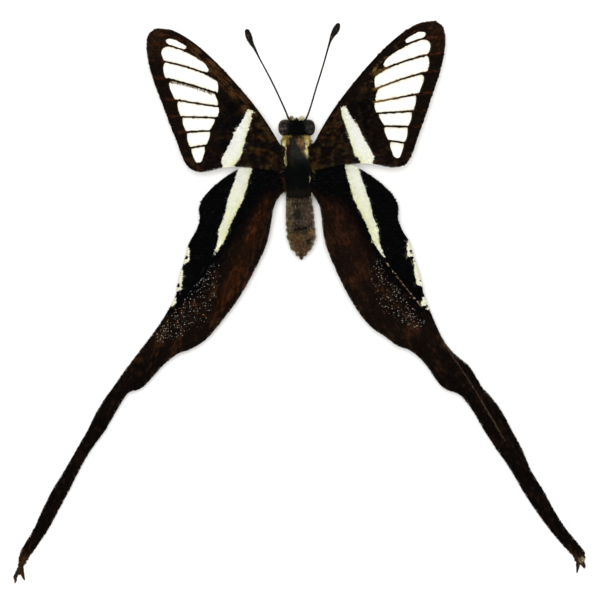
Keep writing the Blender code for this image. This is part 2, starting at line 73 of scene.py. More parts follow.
# Wing plans, the same as those of the solids
EDGE_STEP = 0.5
VEIN_STEP = 0.6
GRID_STEP = 0.5
FORE_LEVEL = 6.55
FORE_DIHEDRAL = 0.035
FORE_CAMBER = 0.25
WING_ROOT = 2.0
FORE_SPAN = 17.5
FORE_OUTLINE = [
    (0.9, -2.2), (2.1, -2.75), (2.6, -3.6), (3.35, -4.9), (4.7, -7.0), (6.6, -9.5), (10.2, -13.6),
    (13.4, -16.5), (16.0, -18.0), (17.7, -18.3), (19.0, -17.6), (19.4, -15.9), (18.8, -12.2),
    (17.6, -8.7), (15.8, -3.7),
    (14.5, -0.4), (13.7, 0.4), (12.4, 0.7), (9.8, 0.2), (7.4, 0.1), (4.0, 0.5), (0.9, 0.8),
]
COSTA_POINTS = 10  # how many of the outline's points run along the front edge
FORE_VEINS = {
    "subcosta": [(1.3, -2.1), (2.7, -3.4), (4.7, -6.35), (6.6, -8.8), (9.0, -11.75), (11.2, -14.05),
                 (12.9, -15.7)],
    "radius": [(1.2, -1.85), (4.8, -5.6), (8.2, -9.6), (10.0, -11.9), (11.3, -13.6), (13.4, -15.55),
               (15.7, -17.05), (17.6, -17.35)],
    "radial_branch": [(11.3, -13.6), (12.9, -14.6), (14.1, -15.15), (15.3, -15.57), (16.5, -15.95),
                      (19.1, -16.2)],
    "cubitus": [(1.2, -1.6), (5.4, -4.4), (7.6, -6.2), (8.6, -7.6), (9.0, -9.2), (9.5, -11.1)],
    "median_1": [(9.5, -11.1), (11.2, -12.0), (14.2, -13.1), (17.3, -13.9), (19.2, -14.1)],
    "median_2": [(9.0, -9.2), (10.3, -9.6), (13.8, -10.8), (16.9, -11.6), (18.6, -11.8)],
    "median_3": [(8.6, -7.6), (12.8, -8.3), (15.7, -8.8), (17.5, -9.0)],
    "cubital_1": [(7.6, -6.2), (10.5, -6.4), (15.0, -6.6), (16.8, -6.7)],
    "cubital_2": [(5.4, -4.4), (8.2, -4.7), (11.3, -4.7), (14.4, -4.6), (16.1, -4.6)],
    "anal": [(1.2, -1.1), (4.0, -2.2), (7.0, -2.7), (11.8, -2.8), (13.9, -2.5), (15.3, -2.3)],
}
# The clear panes between the veins, from the apex to the rear corner
FORE_PANES = [
    [(17.0, -16.7), (15.9, -16.8), (14.0, -15.6), (14.5, -15.5), (16.6, -16.2)],
    [(17.5, -15.1), (17.2, -15.7), (15.7, -15.6), (13.0, -14.3), (11.6, -13.3), (11.2, -12.4),
     (13.9, -13.2), (17.2, -14.1)],
    [(17.2, -13.6), (16.3, -13.6), (14.2, -13.0), (11.4, -11.8), (10.1, -11.0), (10.2, -9.6),
     (12.7, -10.5), (14.8, -11.2), (17.1, -11.9)],
    [(16.6, -11.2), (13.7, -10.6), (10.5, -9.4), (10.1, -8.0), (12.9, -8.4), (15.8, -8.9)],
    [(15.5, -8.6), (12.7, -8.2), (10.0, -7.7), (10.3, -6.4), (12.9, -6.6), (15.1, -6.7)],
    [(14.9, -6.5), (10.5, -6.3), (11.3, -4.8), (14.5, -4.8)],
    [(14.3, -4.5), (11.2, -4.6), (11.7, -3.0), (14.0, -2.7)],
    [(13.8, -2.4), (11.9, -2.6), (12.5, -0.6), (13.1, -0.5), (13.5, -1.3)],
]
PANE_CORNER = 0.22
PANE_STEP = 0.22
VEIN_ROOM = 0.1  # from a vein's middle to the panes beside it
PANE_SNAP = 0.22  # a pane's edge nearer to a vein than this is drawn up to that room
PANE_LEFT = 0.5  # and one farther than this is left as it is
BARE_MARGIN = 0.3  # share of the margin along the front edge and the tail's tip, which have no fringe
COSTAL_VEIN = 0.13  # how far inside the front edge its vein runs
SAG_WIDTH = 1.1  # how far from a vein the membrane still sinks
RIDGE_WIDTH = 0.14  # how wide the scales rise over a vein, and how much of its height they show
RIDGE_SHARE = 0.4
FUZZ = 26  # stray scales for each millimetre of edge
STRAYS = 3
FUZZY_PANE = 3  # brown scales stray into this one from its front edge, on the left wing
FORE_BAND = [
    (6.3, -7.4), (5.6, -7.2), (5.9, -5.8), (6.3, -4.6), (6.7, -3.2), (7.3, -1.2), (8.4, 0.3), (9.6, 0.3),
    (9.9, -0.7), (9.5, -1.6), (8.6, -3.2), (8.1, -4.5), (7.2, -5.7),
]
FORE_BAND_INNER = [(5.6, -7.2), (5.9, -5.8), (6.3, -4.6), (6.7, -3.2), (7.3, -1.2), (8.4, 0.3)]

HIND_LEVEL = 5.3
HIND_SLOPE = -0.02
TAIL_DROOP = 3.6
DROOP_FROM = 13.0
DROOP_TO = 54.0
FOLD_RISE = 0.3
FOLD_WIDTH = 7.0
HIND_COSTA = [(0.9, -0.2), (3.4, -0.7), (6.0, -0.4), (8.0, 0.5)]
HIND_TERMEN = [
    (10.4, 2.1), (12.3, 4.0), (13.0, 5.5), (12.9, 7.0), (13.5, 8.6), (14.3, 9.9), (14.8, 11.8),
    (15.3, 13.3), (15.9, 15.5), (16.2, 17.0),
]
HIND_DORSUM = [
    (9.0, 19.9), (7.8, 18.3), (6.7, 16.5), (5.6, 14.4), (4.6, 12.3), (3.8, 10.3), (3.35, 8.2), (3.15, 6.5),
    (2.85, 5.2), (2.3, 4.2), (1.6, 3.5), (0.9, 3.2),
]
FOLD = [(2.4, 2.4), (6.5, 5.1), (8.8, 8.5), (11.1, 12.3), (13.8, 15.8), (16.0, 18.4)]
HIND_VEINS = {
    "costal": [(1.2, 0.6), (4.6, 0.7), (8.0, 1.6), (10.2, 2.2)],
    "radial": [(1.2, 1.0), (4.6, 2.0), (8.6, 3.8), (12.7, 5.4)],
    "median_1": [(4.6, 2.0), (7.4, 4.4), (10.4, 6.8), (13.2, 8.6)],
    "median_2": [(7.4, 4.4), (9.6, 7.6), (12.0, 10.2), (14.5, 11.8)],
    "median_3": [(9.6, 7.6), (11.6, 11.4), (14.0, 14.4), (15.7, 15.4)],
    "cubitus": FOLD,
    "cubital": [(3.0, 3.0), (5.0, 7.4), (7.2, 12.0), (10.2, 16.6), (13.6, 20.4), (17.8, 24.4)],
    "anal": [(2.2, 3.0), (3.9, 6.6), (4.9, 10.8), (6.6, 14.2), (9.0, 17.6)],
}
HIND_BAND = [
    (7.6, 0.2), (6.0, -0.6), (6.0, 0.4), (6.5, 2.2), (7.1, 4.3), (8.1, 6.3), (8.9, 8.0), (9.7, 10.1),
    (11.3, 12.3), (10.5, 10.0), (10.4, 8.4), (9.7, 6.8), (9.2, 4.5), (8.5, 2.5), (8.0, 1.0),
]
HIND_BAND_INNER = [(6.0, 0.4), (6.5, 2.2), (7.1, 4.3), (8.1, 6.3), (8.9, 8.0), (9.7, 10.1)]
RED_STREAK = [(2.9, 2.6), (4.4, 5.1), (5.9, 8.6), (7.1, 11.8), (8.5, 15.2), (9.9, 18.2)]
# Half width of each wing's streak, and how strongly it shows at places down the wing
STREAKS = {
    "left": (0.62, [(3.0, 0.0), (5.0, 0.3), (8.0, 0.55), (10.0, 0.5), (12.2, 0.25), (13.6, 0.85), (16.0, 0.9),
                    (17.4, 0.4), (19.0, 0.0)]),
    "right": (1.5, [(4.0, 0.0), (5.5, 0.3), (11.0, 0.3), (13.0, 0.15), (19.0, 0.0)]),
}
# The light crease down the right tail, drawn as a faint painted highlight along it
TAIL_CREASE = [(18.6, 22.4), (19.05, 23.4), (21.8, 27.4), (24.6, 32.0), (26.8, 35.8)]
# Where single white scales are scattered: a path with the half width of the scatter at each point
DOT_PATHS = {
    "left": [
        (10.8, 12.6, 0.6), (11.6, 14.6, 1.6), (12.6, 16.4, 2.4), (13.6, 18.2, 2.6), (15.2, 19.9, 2.3),
        (17.0, 21.4, 1.6), (18.6, 22.6, 0.8),
    ],
    "right": [
        (10.2, 12.0, 0.3), (10.3, 13.8, 0.9), (10.9, 15.6, 1.5), (12.0, 17.2, 1.9), (13.2, 18.6, 2.0),
        (14.2, 19.9, 1.4), (16.2, 20.8, 0.6),
    ],
}
FRINGE_PITCH = 0.085
DOT_TRIES = {"left": 520, "right": 300}
DOT_ROOM = 0.17
# The white edge of the hindwing: where the black ends, and the tips of veins that stay dark
WHITE_EDGE = {
    "left": [
        (14.4, 10.0), (14.07, 11.3), (14.2, 12.5), (15.07, 13.1), (14.97, 13.7), (15.07, 15.3), (15.26, 16.3),
        (15.9, 16.5), (15.9, 17.9), (16.3, 18.3),
    ],
    "right": [
        (14.26, 9.6), (14.1, 10.2), (14.05, 11.8), (14.85, 12.0), (15.0, 13.5), (15.2, 14.9), (15.3, 15.5),
        (16.3, 15.8), (16.2, 16.8), (15.9, 18.1), (16.6, 18.8),
    ],
}
DARK_TIPS = {
    "left": [(14.66, 12.0), (15.6, 15.7)],
    "right": [(14.6, 11.2), (16.0, 15.0), (16.5, 18.4)],
}
DARK_TIP_SIZE = 0.22

# Stations down each tail: how far aft, then the lateral of its outer and of its inner edge
TAIL_STATIONS = {
    "left": [
        (21.4, 18.6, 10.8), (23.1, 19.9, 12.5), (24.0, 20.6, 14.1), (24.6, 21.0, 15.7), (26.1, 22.2, 17.6),
        (28.2, 23.7, 19.5), (29.1, 24.3, 20.5), (29.6, 24.7, 22.0), (31.9, 26.2, 23.6), (34.5, 27.5, 25.1),
        (37.1, 29.0, 27.0), (39.7, 30.5, 28.5), (42.3, 32.1, 29.8), (44.9, 33.4, 31.2), (47.5, 34.6, 32.6),
        (49.3, 35.7, 33.8), (50.6, 36.4, 34.7), (51.6, 36.5, 35.4), (52.3, 36.6, 35.8),
    ],
    "right": [
        (21.4, 18.2, 9.8), (22.4, 18.7, 11.3), (23.5, 19.4, 12.8), (24.1, 19.9, 14.4), (25.1, 21.0, 15.7),
        (26.1, 22.2, 16.6), (28.7, 23.8, 18.5), (29.3, 24.3, 19.4), (29.8, 24.8, 20.8), (31.9, 26.4, 22.6),
        (34.5, 27.8, 24.1), (37.1, 29.2, 25.8), (39.7, 30.3, 27.6), (42.3, 31.9, 29.1), (44.9, 33.3, 30.8),
        (47.5, 35.0, 32.7), (49.3, 36.5, 34.2), (50.6, 37.4, 35.4), (51.6, 37.3, 36.1),
    ],
}
TAIL_FORKS = {
    "left": [(53.5, 37.2), (54.5, 37.05), (54.4, 36.85), (53.1, 36.4), (54.1, 35.8), (54.1, 35.55)],
    "right": [(52.2, 37.5), (52.6, 37.35), (52.5, 37.1), (52.0, 36.75), (53.2, 36.4), (53.1, 36.15)],
}
TAIL_FROM = 26.0
TIP_FROM = 50.6  # the tails are worn and brown behind this
WORN_SPOT = (36.9, 51.4)  # a pale patch on the right tail's tip

# Body stations of (aft, lateral of the midline, height of the midline, half width, half height)
HEAD_MIDDLE = 0.23
HEAD_STATIONS = [
    (-6.1, HEAD_MIDDLE, 5.2, 0.0, 0.0), (-5.75, HEAD_MIDDLE, 5.2, 1.1, 1.05),
    (-4.9, HEAD_MIDDLE, 5.2, 1.55, 1.45), (-3.95, HEAD_MIDDLE, 5.2, 1.45, 1.3),
    (-3.55, HEAD_MIDDLE, 5.2, 0.0, 0.0),
]
THORAX_STATIONS = [
    (-3.8, 0.28, 5.15, 0.0, 0.0), (-3.5, 0.28, 5.15, 1.98, 1.55), (-2.6, 0.27, 5.2, 2.03, 2.0),
    (-1.0, 0.23, 5.2, 2.03, 2.35), (0.6, 0.1, 5.2, 2.0, 2.4), (2.4, -0.02, 5.1, 1.85, 2.1),
    (3.8, -0.06, 5.0, 1.75, 1.7), (4.5, -0.08, 4.9, 0.0, 0.0),
]
ABDOMEN_STATIONS = [
    (3.6, -0.05, 4.85, 0.0, 0.0), (4.3, -0.08, 4.85, 1.8, 1.5), (7.0, -0.2, 4.7, 1.95, 1.7),
    (9.2, -0.36, 4.5, 1.97, 1.65), (10.4, -0.36, 4.4, 1.65, 1.35), (11.3, -0.37, 4.3, 0.95, 0.85),
    (11.8, -0.38, 4.27, 0.45, 0.42), (12.5, -0.38, 4.25, 0.0, 0.0),
]
ABDOMEN_JOINTS = [5.0, 6.0, 7.0, 7.9, 8.8, 9.7, 10.5]
JOINT_PINCH = 0.05
JOINT_WIDTH = 0.22
BODY_SQUARENESS = 2.2
# The skin lies this far inside the solids of head, thorax and abdomen, whose surface is the coat's
COAT_DEPTHS = (0.3, 0.16, 0.3)
NECK = 0.9  # the skin's least half size between the parts
BODY_RINGS = 260
BODY_SEGMENTS = 72

EYE_CENTRE = (1.45, -4.85, 5.25)
EYE_RADII = (0.95, 1.08, 1.3)
EYE_SQUARENESS = 2.4

# Feelers: (lateral, aft, height, radius) down each one's length, with the radius of the solids
ANTENNAE = {
    "left": [
        (0.75, -5.15, 5.9, 0.27), (1.0, -5.55, 6.3, 0.26), (1.26, -5.95, 6.6, 0.26), (1.64, -6.9, 6.85, 0.25),
        (3.45, -10.8, 7.4, 0.25),
        (5.1, -13.9, 8.0, 0.25), (5.75, -15.2, 8.2, 0.3), (6.15, -15.9, 8.3, 0.37), (6.42, -16.6, 8.45, 0.44),
        (6.62, -17.2, 8.57, 0.4), (6.76, -17.62, 8.66, 0.24),
    ],
    "right": [
        (0.3, -5.15, 5.95, 0.27), (0.57, -5.55, 6.35, 0.26), (0.95, -5.95, 6.6, 0.26),
        (1.36, -6.9, 6.85, 0.25), (2.3, -10.0, 7.3, 0.25),
        (3.26, -13.1, 7.9, 0.25), (3.85, -15.2, 8.25, 0.26), (4.13, -16.1, 8.4, 0.29),
        (4.42, -16.8, 8.5, 0.37), (4.78, -17.4, 8.62, 0.45), (5.08, -18.0, 8.72, 0.41),
        (5.22, -18.4, 8.79, 0.25),
    ],
}
SHAFT_SOLID = 0.25  # the solid's least radius, where the real shaft is thinner
SHAFT_RADIUS = 0.115
CLUB_SWELL = 1.65
CLUB_END = 0.36  # how far from the tip the club begins to round off
ANTENNA_JOINT = 0.27
PALP = [(0.72, -5.0, 4.3, 0.26), (0.74, -5.6, 4.4, 0.3), (0.7, -6.0, 4.9, 0.28), (0.66, -6.18, 5.5, 0.12)]
TONGUE_CENTRE = (-5.2, 2.2)
TONGUE_OUTER = 1.0
TONGUE_INNER = 0.25
TONGUE_TURNS = 1.6
TONGUE_START = 105
TONGUE_RADIUS = 0.16
TONGUE_STEPS = 160

# Legs: (lateral, aft, height) of coxa, trochanter, thigh, knee, shin, ankle, sole and toe
LEGS = {
    "fore": [
        (0.7, -1.8, 3.6), (1.1, -2.1, 2.6), (2.6, -2.3, 3.4), (4.0, -2.7, 4.1),
        (4.9, -3.4, 2.2), (5.5, -4.0, 0.6), (5.9, -4.5, 0.13), (6.7, -5.4, 0.13),
    ],
    "mid": [
        (0.9, 0.2, 3.4), (1.5, 0.3, 2.4), (3.2, 0.6, 3.5), (4.9, 0.8, 4.2),
        (6.0, 1.3, 2.3), (6.7, 1.6, 0.6), (7.2, 1.8, 0.13), (8.5, 2.2, 0.13),
    ],
    "hind": [
        (0.8, 2.2, 3.6), (1.2, 2.7, 2.6), (2.9, 3.7, 3.3), (4.4, 5.1, 3.9),
        (5.3, 7.0, 2.2), (5.8, 8.3, 0.6), (6.0, 9.0, 0.13), (6.6, 10.6, 0.13),
    ],
}

# The photograph's frame at the height of the wings, and its middle, in millimetres
VIEW_WIDTH = 78.0
VIEW_MIDDLE = (-0.195, 0.335)
VIEW_LEVEL = 6.0
CAMERA_HEIGHT = 2000.0
FLOOR_RADIUS = 1.6  # in metres, as the next line
LAMP_PLACE = (0.02, -0.06, 1.3)
SENSOR = 36.0


def linear(code):
    """An sRGB hex colour as linear red, green and blue."""
    parts = [int(code[i : i + 2], 16) / 255 for i in (1, 3, 5)]
    return tuple(c / 12.92 if c <= 0.04045 else ((c + 0.055) / 1.055) ** 2.4 for c in parts)


def length(name, description, millimetres):
    """A length that the sidebar shows in the scene's own unit."""
    return FloatProperty(
        name=name, description=description, default=millimetres * MM, min=0.0, precision=6, unit="LENGTH"
    )


def colour(name, description, code):
    return FloatVectorProperty(
        name=name, description=description, default=linear(code), size=3, min=0.0, max=1.0, subtype="COLOR"
    )


class WingSettings(bpy.types.PropertyGroup):
    membrane: length("Membrane", "Thickness of the wing's membrane", 0.1)
    pane: length("Pane", "Thickness of the clear panes", 0.06)
    margin: length("Margin", "How far the scales and the fringe stand past the membrane", 0.2)
    pleat: length("Pleat", "How deep the membrane sags between two veins", 0.14)
    vein: length("Vein radius", "Radius of a vein at the wing's root", 0.12)
    scale_length: length("Scale length", "Length of one scale on the upper face", 0.3)
    scale_width: length("Scale width", "Width of one scale on the upper face", 0.165)
    row_pitch: length("Row pitch", "Distance from one row of scales to the next", 0.165)
    file_pitch: length("File pitch", "Distance between neighbours in a row", 0.122)
    under_size: FloatProperty(
        name="Underside", description="Scales of the lower face against those above", default=1.4, min=1.0
    )
    black: colour("Black", "Velvet black of the hindwing's outer part", "#040304")
    dark: colour("Dark brown", "Ground colour of the wings", "#140c07")
    brown: colour("Brown", "Flecks and streaks of the forewing", "#573820")
    red: colour("Red brown", "Streak along the hindwing", "#5f2c13")
    band: colour("Band", "Greenish white band across both wings", "#fffff4")
    lime: colour("Band tint", "Yellow green along the band's inner edge", "#eaedb2")
    white: colour("White", "White edge of the hindwing and its scattered scales", "#fbf8dc")
    under: colour("Underside", "Pale brown dusting of the wings' undersides", "#6d5a46")


class BodySettings(bpy.types.PropertyGroup):
    thorax_hairs: IntProperty(name="Thorax hairs", description="How many hairs", default=16000, min=100)
    head_hairs: IntProperty(name="Head hairs", description="How many hairs", default=3600, min=100)
    abdomen_scales: IntProperty(name="Abdomen scales", description="How many scales", default=12500, min=100)
    hair: length("Hair", "Length of a thorax hair", 0.62)
    hair_width: length("Hair width", "Width of a hair at its root", 0.055)
    black: colour("Black hair", "Head and rear of the thorax", "#050707")
    cream: colour("Cream hair", "Collar and side stripes", "#f0e6a6")
    brown: colour("Brown hair", "Hair behind the head", "#846640")
    grey: colour("Grey brown", "Top of the abdomen", "#42382d")
    rust: colour("Yellow brown", "Last segments of the abdomen", "#6c4f2e")
    pale: colour("Underside", "Whitish hair of the underside", "#b9b09a")


class StageSettings(bpy.types.PropertyGroup):
    floor: colour("Floor", "Pale board", "#f7f6f4")
    sky: FloatProperty(name="Sky", description="Strength of the light from all round", default=0.55, min=0.0)
    key: FloatProperty(name="Key", description="Power of the soft light in watts", default=15.3, min=0.0)
    key_size: length("Key size", "Width of the soft light", 350)


class SpecimenSettings(bpy.types.PropertyGroup):
    wings: PointerProperty(type=WingSettings, name="Wings", description="Sizes and colours of the wings")
    body: PointerProperty(type=BodySettings, name="Body", description="Hair and colours of the body")
    stage: PointerProperty(type=StageSettings, name="Stage", description="Floor and light")


def settings():
    return bpy.context.scene.dragontail


def mm(metres):
    return metres / MM


# Paths and outlines


def spline(points, step, closed=False):
    """Even points about one step apart on a smooth curve through the given ones (centripetal)."""
    count = len(points)
    fine = []
    for i in range(count if closed else count - 1):
        if closed:
            four = [points[(i + k) % count] for k in (-1, 0, 1, 2)]
        else:
            four = [points[min(max(i + k, 0), count - 1)] for k in (-1, 0, 1, 2)]
        p0, p1, p2, p3 = (Vector(p) for p in four)
        pieces = max(1, math.ceil((p2 - p1).length / step))
        knots = [0.0]
        for a, b in ((p0, p1), (p1, p2), (p2, p3)):
            knots.append(knots[-1] + max((b - a).length ** 0.5, 1e-4))
        for k in range(pieces):
            fine.append(barry_goldman((p0, p1, p2, p3), knots, k / pieces))
    if not closed:
        fine.append(Vector(points[-1]))
    return fine


def barry_goldman(four, knots, share):
    """The point at a share of the way from the second of four points to the third."""
    t = knots[1] + share * (knots[2] - knots[1])

    def mix(a, b, ta, tb):
        return a * ((tb - t) / (tb - ta)) + b * ((t - ta) / (tb - ta))

    a1 = mix(four[0], four[1], knots[0], knots[1])
    a2 = mix(four[1], four[2], knots[1], knots[2])
    a3 = mix(four[2], four[3], knots[2], knots[3])
    b1 = mix(a1, a2, knots[0], knots[2])
    b2 = mix(a2, a3, knots[1], knots[3])
    return mix(b1, b2, knots[1], knots[2])


def turned(points, degrees, reach, shift):
    """Wing points turned about the middle of the thorax, stretched and shifted outwards and aft."""
    c, s = math.cos(math.radians(degrees)), math.sin(math.radians(degrees))
    return [Vector((x * c - y * s, x * s + y * c)) * reach + Vector(shift) for x, y in points]


def runs(paths, closed=False):
    """The straight runs of one or more paths, as arrays of their starts and their ends."""
    starts, ends = [], []
    for path in paths:
        line = np.array([tuple(p)[:2] for p in path])
        starts.append(line if closed else line[:-1])
        ends.append(np.roll(line, -1, axis=0) if closed else line[1:])
    return np.concatenate(starts), np.concatenate(ends)


def measure(paths, points, closed=False):
    """How far points lie from paths, the side they lie on, and the mean way that near paths run."""
    a, b = runs(paths, closed)
    along = b - a
    size = (along**2).sum(1)
    away, side, lie = np.empty(len(points)), np.empty(len(points)), np.empty((len(points), 2))
    for i in range(0, len(points), 4000):
        gap = points[i : i + 4000, None] - a
        share = np.clip((gap * along).sum(2) / size, 0, 1)
        off = gap - share[..., None] * along
        far = (off**2).sum(2)
        near = far.argmin(1)
        rows = np.arange(len(near))
        away[i : i + 4000] = np.sqrt(far[rows, near])
        turn = along[near, 0] * gap[rows, near, 1] - along[near, 1] * gap[rows, near, 0]
        side[i : i + 4000] = np.where(turn > 0, 1, -1)
        weight = 1 / (far + 0.4) ** 2
        mean = weight @ along
        lie[i : i + 4000] = unit(mean)
    return away, side, lie


def distance(paths, points, closed=False):
    return measure(paths, points, closed)[0]


def inside(outline, points):
    """Which points lie inside a closed outline."""
    a, b = runs([outline], closed=True)
    hit = np.zeros(len(points), dtype=bool)
    x, y = points[:, 0], points[:, 1]
    for (ax, ay), (bx, by) in zip(a, b):
        if ay != by:
            crossing = ax + (y - ay) / (by - ay) * (bx - ax)
            hit ^= ((ay > y) != (by > y)) & (x < crossing)
    return hit


def cornered(points, cut):
    """The points of a closed outline, each one doubled a little before and after it for tight corners."""
    kept = []
    for i, point in enumerate(points):
        for other in (points[i - 1], points[(i + 1) % len(points)]):
            way = other - point
            kept.append(point + way * min(cut / way.length, 0.35))
    return kept


def area(outline):
    """The area of a closed outline, below 0 if it runs clockwise."""
    return sum(a.x * b.y - a.y * b.x for a, b in zip(outline, outline[1:] + outline[:1])) / 2


def inset(outline, room):
    """A closed outline moved inwards by the room that a function gives at each point."""
    turn = 1 if area(outline) > 0 else -1
    moved = []
    for i, point in enumerate(outline):
        along = (outline[(i + 1) % len(outline)] - outline[i - 1]).normalized()
        moved.append(point + Vector((-along.y, along.x)) * turn * room(point))
    return moved


def ease(value, low, high):
    """Rises smoothly from 0 at low to 1 at high."""
    share = np.clip((value - low) / (high - low), 0, 1)
    return share * share * (3 - 2 * share)


def between(value, a, b, c, d):
    """Rises smoothly from 0 at a to 1 at b, and falls back to 0 from c to d."""
    return ease(value, a, b) * (1 - ease(value, c, d))


def unit(vectors):
    return vectors / np.linalg.norm(vectors, axis=1, keepdims=True)


def mottle(points, wide, long, seed, turn=0.0):
    """Smooth patches between about -1 and 1, of one size across and another along, turned by degrees."""
    c, s = math.cos(math.radians(turn)), math.sin(math.radians(turn))
    across, along = points[:, 0] * c + points[:, 1] * s, points[:, 1] * c - points[:, 0] * s
    return np.array([noise.noise((x, y, seed)) for x, y in zip(across / wide, along / long)]) * 1.6


def toward(base, target, share):
    """Colours moved from base to a target by each one's share."""
    return base + (np.asarray(target) - base) * np.asarray(share)[:, None]


# Wing plans


def fore_level(points):
    """Height of the forewing's middle surface, a little higher outwards and gently arched."""
    out = (points[:, 0] - WING_ROOT) / FORE_SPAN
    arch = np.sin(np.pi * np.clip(out, 0, 1))
    return FORE_LEVEL + FORE_DIHEDRAL * (points[:, 0] - WING_ROOT) + FORE_CAMBER * arch


def hind_level(points):
    """Height of the hindwing's middle surface: a step at the fold, then the tail's long droop."""
    x, y = points.T
    sunk = np.clip((y - DROOP_FROM) / (DROOP_TO - DROOP_FROM), 0, 1) ** 1.6
    away, side, _ = measure([FOLD], points)
    inner = away * side
    rise = (1 - np.maximum(inner, 0) / FOLD_WIDTH).clip(0) * np.clip((inner + 0.2) / 0.4, 0, 1)
    rise *= np.clip((20.0 - y) / 6.0, 0, 1) * np.clip((x - 3.0) / 3.0, 0, 1)
    return HIND_LEVEL + HIND_SLOPE * (x - WING_ROOT) - TAIL_DROOP * sunk + FOLD_RISE * rise


def hindwing_edges(side):
    """The hindwing and its tail as two edges from the root to the tip: the outer and the inner one."""
    pose = SIDES[side]
    hold = (pose["reach"], pose["hind_shift"])
    outer = turned(HIND_COSTA + HIND_TERMEN, pose["outer"], *hold)
    inner = turned(HIND_DORSUM[::-1], pose["inner"], *hold)
    outer += [Vector((out, aft)) for aft, out, _ in TAIL_STATIONS[side]]
    inner += [Vector((inn, aft)) for aft, _, inn in TAIL_STATIONS[side]]
    return spline(outer, EDGE_STEP), spline(inner, EDGE_STEP)


class Wing:
    """The plan of one wing, held as its side holds it."""

    def __init__(self, kind, side):
        pose = SIDES[side]
        self.kind, self.side, self.sign = kind, side, pose["sign"]
        self.seed = pose["seed"] + (0 if kind == "fore" else 7)
        if kind == "fore":
            self.hold = (pose["fore"], pose["reach"], pose["fore_shift"])
            self.outline = spline(turned(FORE_OUTLINE, *self.hold), EDGE_STEP, closed=True)
            self.costa = spline(turned(FORE_OUTLINE[:COSTA_POINTS], *self.hold), EDGE_STEP)
            self.nodes = ["forewing_" + side]
            veins = FORE_VEINS
        else:
            self.hold = (pose["outer"], pose["reach"], pose["hind_shift"])
            self.outer, self.inner = hindwing_edges(side)
            fork = [Vector((lateral, aft)) for aft, lateral in TAIL_FORKS[side]]
            self.outline = self.outer + fork + self.inner[::-1]
            self.costa = spline(turned(HIND_COSTA, *self.hold), EDGE_STEP)
            self.nodes = ["hindwing_" + side, "tail_" + side]
            veins = HIND_VEINS
        self.veins = [spline(turned(vein, *self.hold), VEIN_STEP) for vein in veins.values()]
        self.panes = [self.clear_pane(pane) for pane in FORE_PANES] if kind == "fore" else []
        if kind == "hind":
            middle = [((out + inn) / 2, aft) for aft, out, inn in TAIL_STATIONS[side] if aft > TAIL_FROM]
            self.veins.append(spline(middle, VEIN_STEP))
        room = mm(settings().wings.margin)
        outline = np.array([tuple(p) for p in self.outline])
        costal = distance([self.costa], outline) < 0.05
        front = {tuple(p) for p, near in zip(outline, costal) if near}
        self.margin = inset(
            self.outline, lambda p: room * BARE_MARGIN if tuple(p) in front or p.y > TIP_FROM else room
        )
        if kind == "fore":
            rim = inset(self.outline, lambda p: COSTAL_VEIN)
            away = distance([self.costa], np.array([tuple(p) for p in rim]))
            self.veins.append([p for p, far in zip(rim, away) if far < COSTAL_VEIN + 0.03])

    def clear_pane(self, plan):
        """One pane's outline, a little ragged, its long sides drawn up to the veins that they follow."""
        pane = spline(cornered(turned(plan, *self.hold), PANE_CORNER), PANE_STEP, closed=True)
        points = np.array([tuple(p) for p in pane])
        a, b = runs(self.veins)
        along = b - a
        gap = points[:, None] - a
        share = np.clip((gap * along).sum(2) / (along**2).sum(1), 0, 1)
        far = ((gap - share[..., None] * along) ** 2).sum(2)
        near, rows = far.argmin(1), np.arange(len(points))
        normal = unit(np.stack([-along[near, 1], along[near, 0]], 1))
        normal *= np.sign(((points.mean(0) - a[near]) * normal).sum(1))[:, None]
        away = (gap[rows, near] * normal).sum(1)
        fade = (away - PANE_SNAP) / (PANE_LEFT - PANE_SNAP)
        wanted = VEIN_ROOM + np.maximum(fade, 0) * (PANE_LEFT - VEIN_ROOM)
        shift = np.where((away < PANE_LEFT) & (far[rows, near] < PANE_LEFT**2), wanted - away, 0)
        points = wobble(points + normal * shift[:, None], 0.3, 0.02)
        return [Vector(p) for p in points]

    def shared(self, points):
        """Points taken back to the plan that both sides share."""
        degrees, reach, shift = self.hold
        c, s = math.cos(math.radians(degrees)), math.sin(math.radians(degrees))
        return (points - np.array(shift)) / reach @ np.array([[c, -s], [s, c]])

    def level(self, points):
        """Height of the membrane's middle, sagging between the veins."""
        flat = (fore_level if self.kind == "fore" else hind_level)(points)
        sag = ease(distance(self.veins, points), 0.0, SAG_WIDTH) * mm(settings().wings.pleat)
        return flat - sag + 0.05 * mottle(points, 2.2, 3.5, self.seed)

    def ridged(self, points):
        """Height of the membrane's middle with the rise that the scales make over each vein."""
        away = distance(self.veins, points)
        rise = mm(settings().wings.vein) - mm(settings().wings.membrane) / 2
        return self.level(points), RIDGE_SHARE * rise * np.exp(-((away / RIDGE_WIDTH) ** 2))

    def in_panes(self, points):
        hit = np.zeros(len(points), dtype=bool)
        for pane in self.panes:
            hit |= inside(pane, points)
        return hit

    def unwrap(self, points):
        """A place on a flat unwrap of the wing, each between 0 and 1."""
        if self.kind == "fore":
            low, high = np.min(self.outline, axis=0), np.max(self.outline, axis=0)
            return (points - low) / (high - low)
        edges = [np.array(sorted(tuple(p)[::-1] for p in edge)) for edge in (self.outer, self.inner)]
        out, inn = (np.interp(points[:, 1], edge[:, 0], edge[:, 1]) for edge in edges)
        across = (points[:, 0] - inn) / np.maximum(out - inn, 0.4)
        low, high = self.inner[0].y - 1.0, TAIL_FORKS[self.side][1][0]
        return np.stack([np.clip(across, 0, 1), (points[:, 1] - low) / (high - low)], 1)


# Colours of the wings, one for each point


def wobble(points, size, reach):
    """Points shifted by a little noise, which makes an edge ragged."""
    return points + reach * np.stack([mottle(points, size, size, 3.3), mottle(points, size, size, 8.1)], 1)


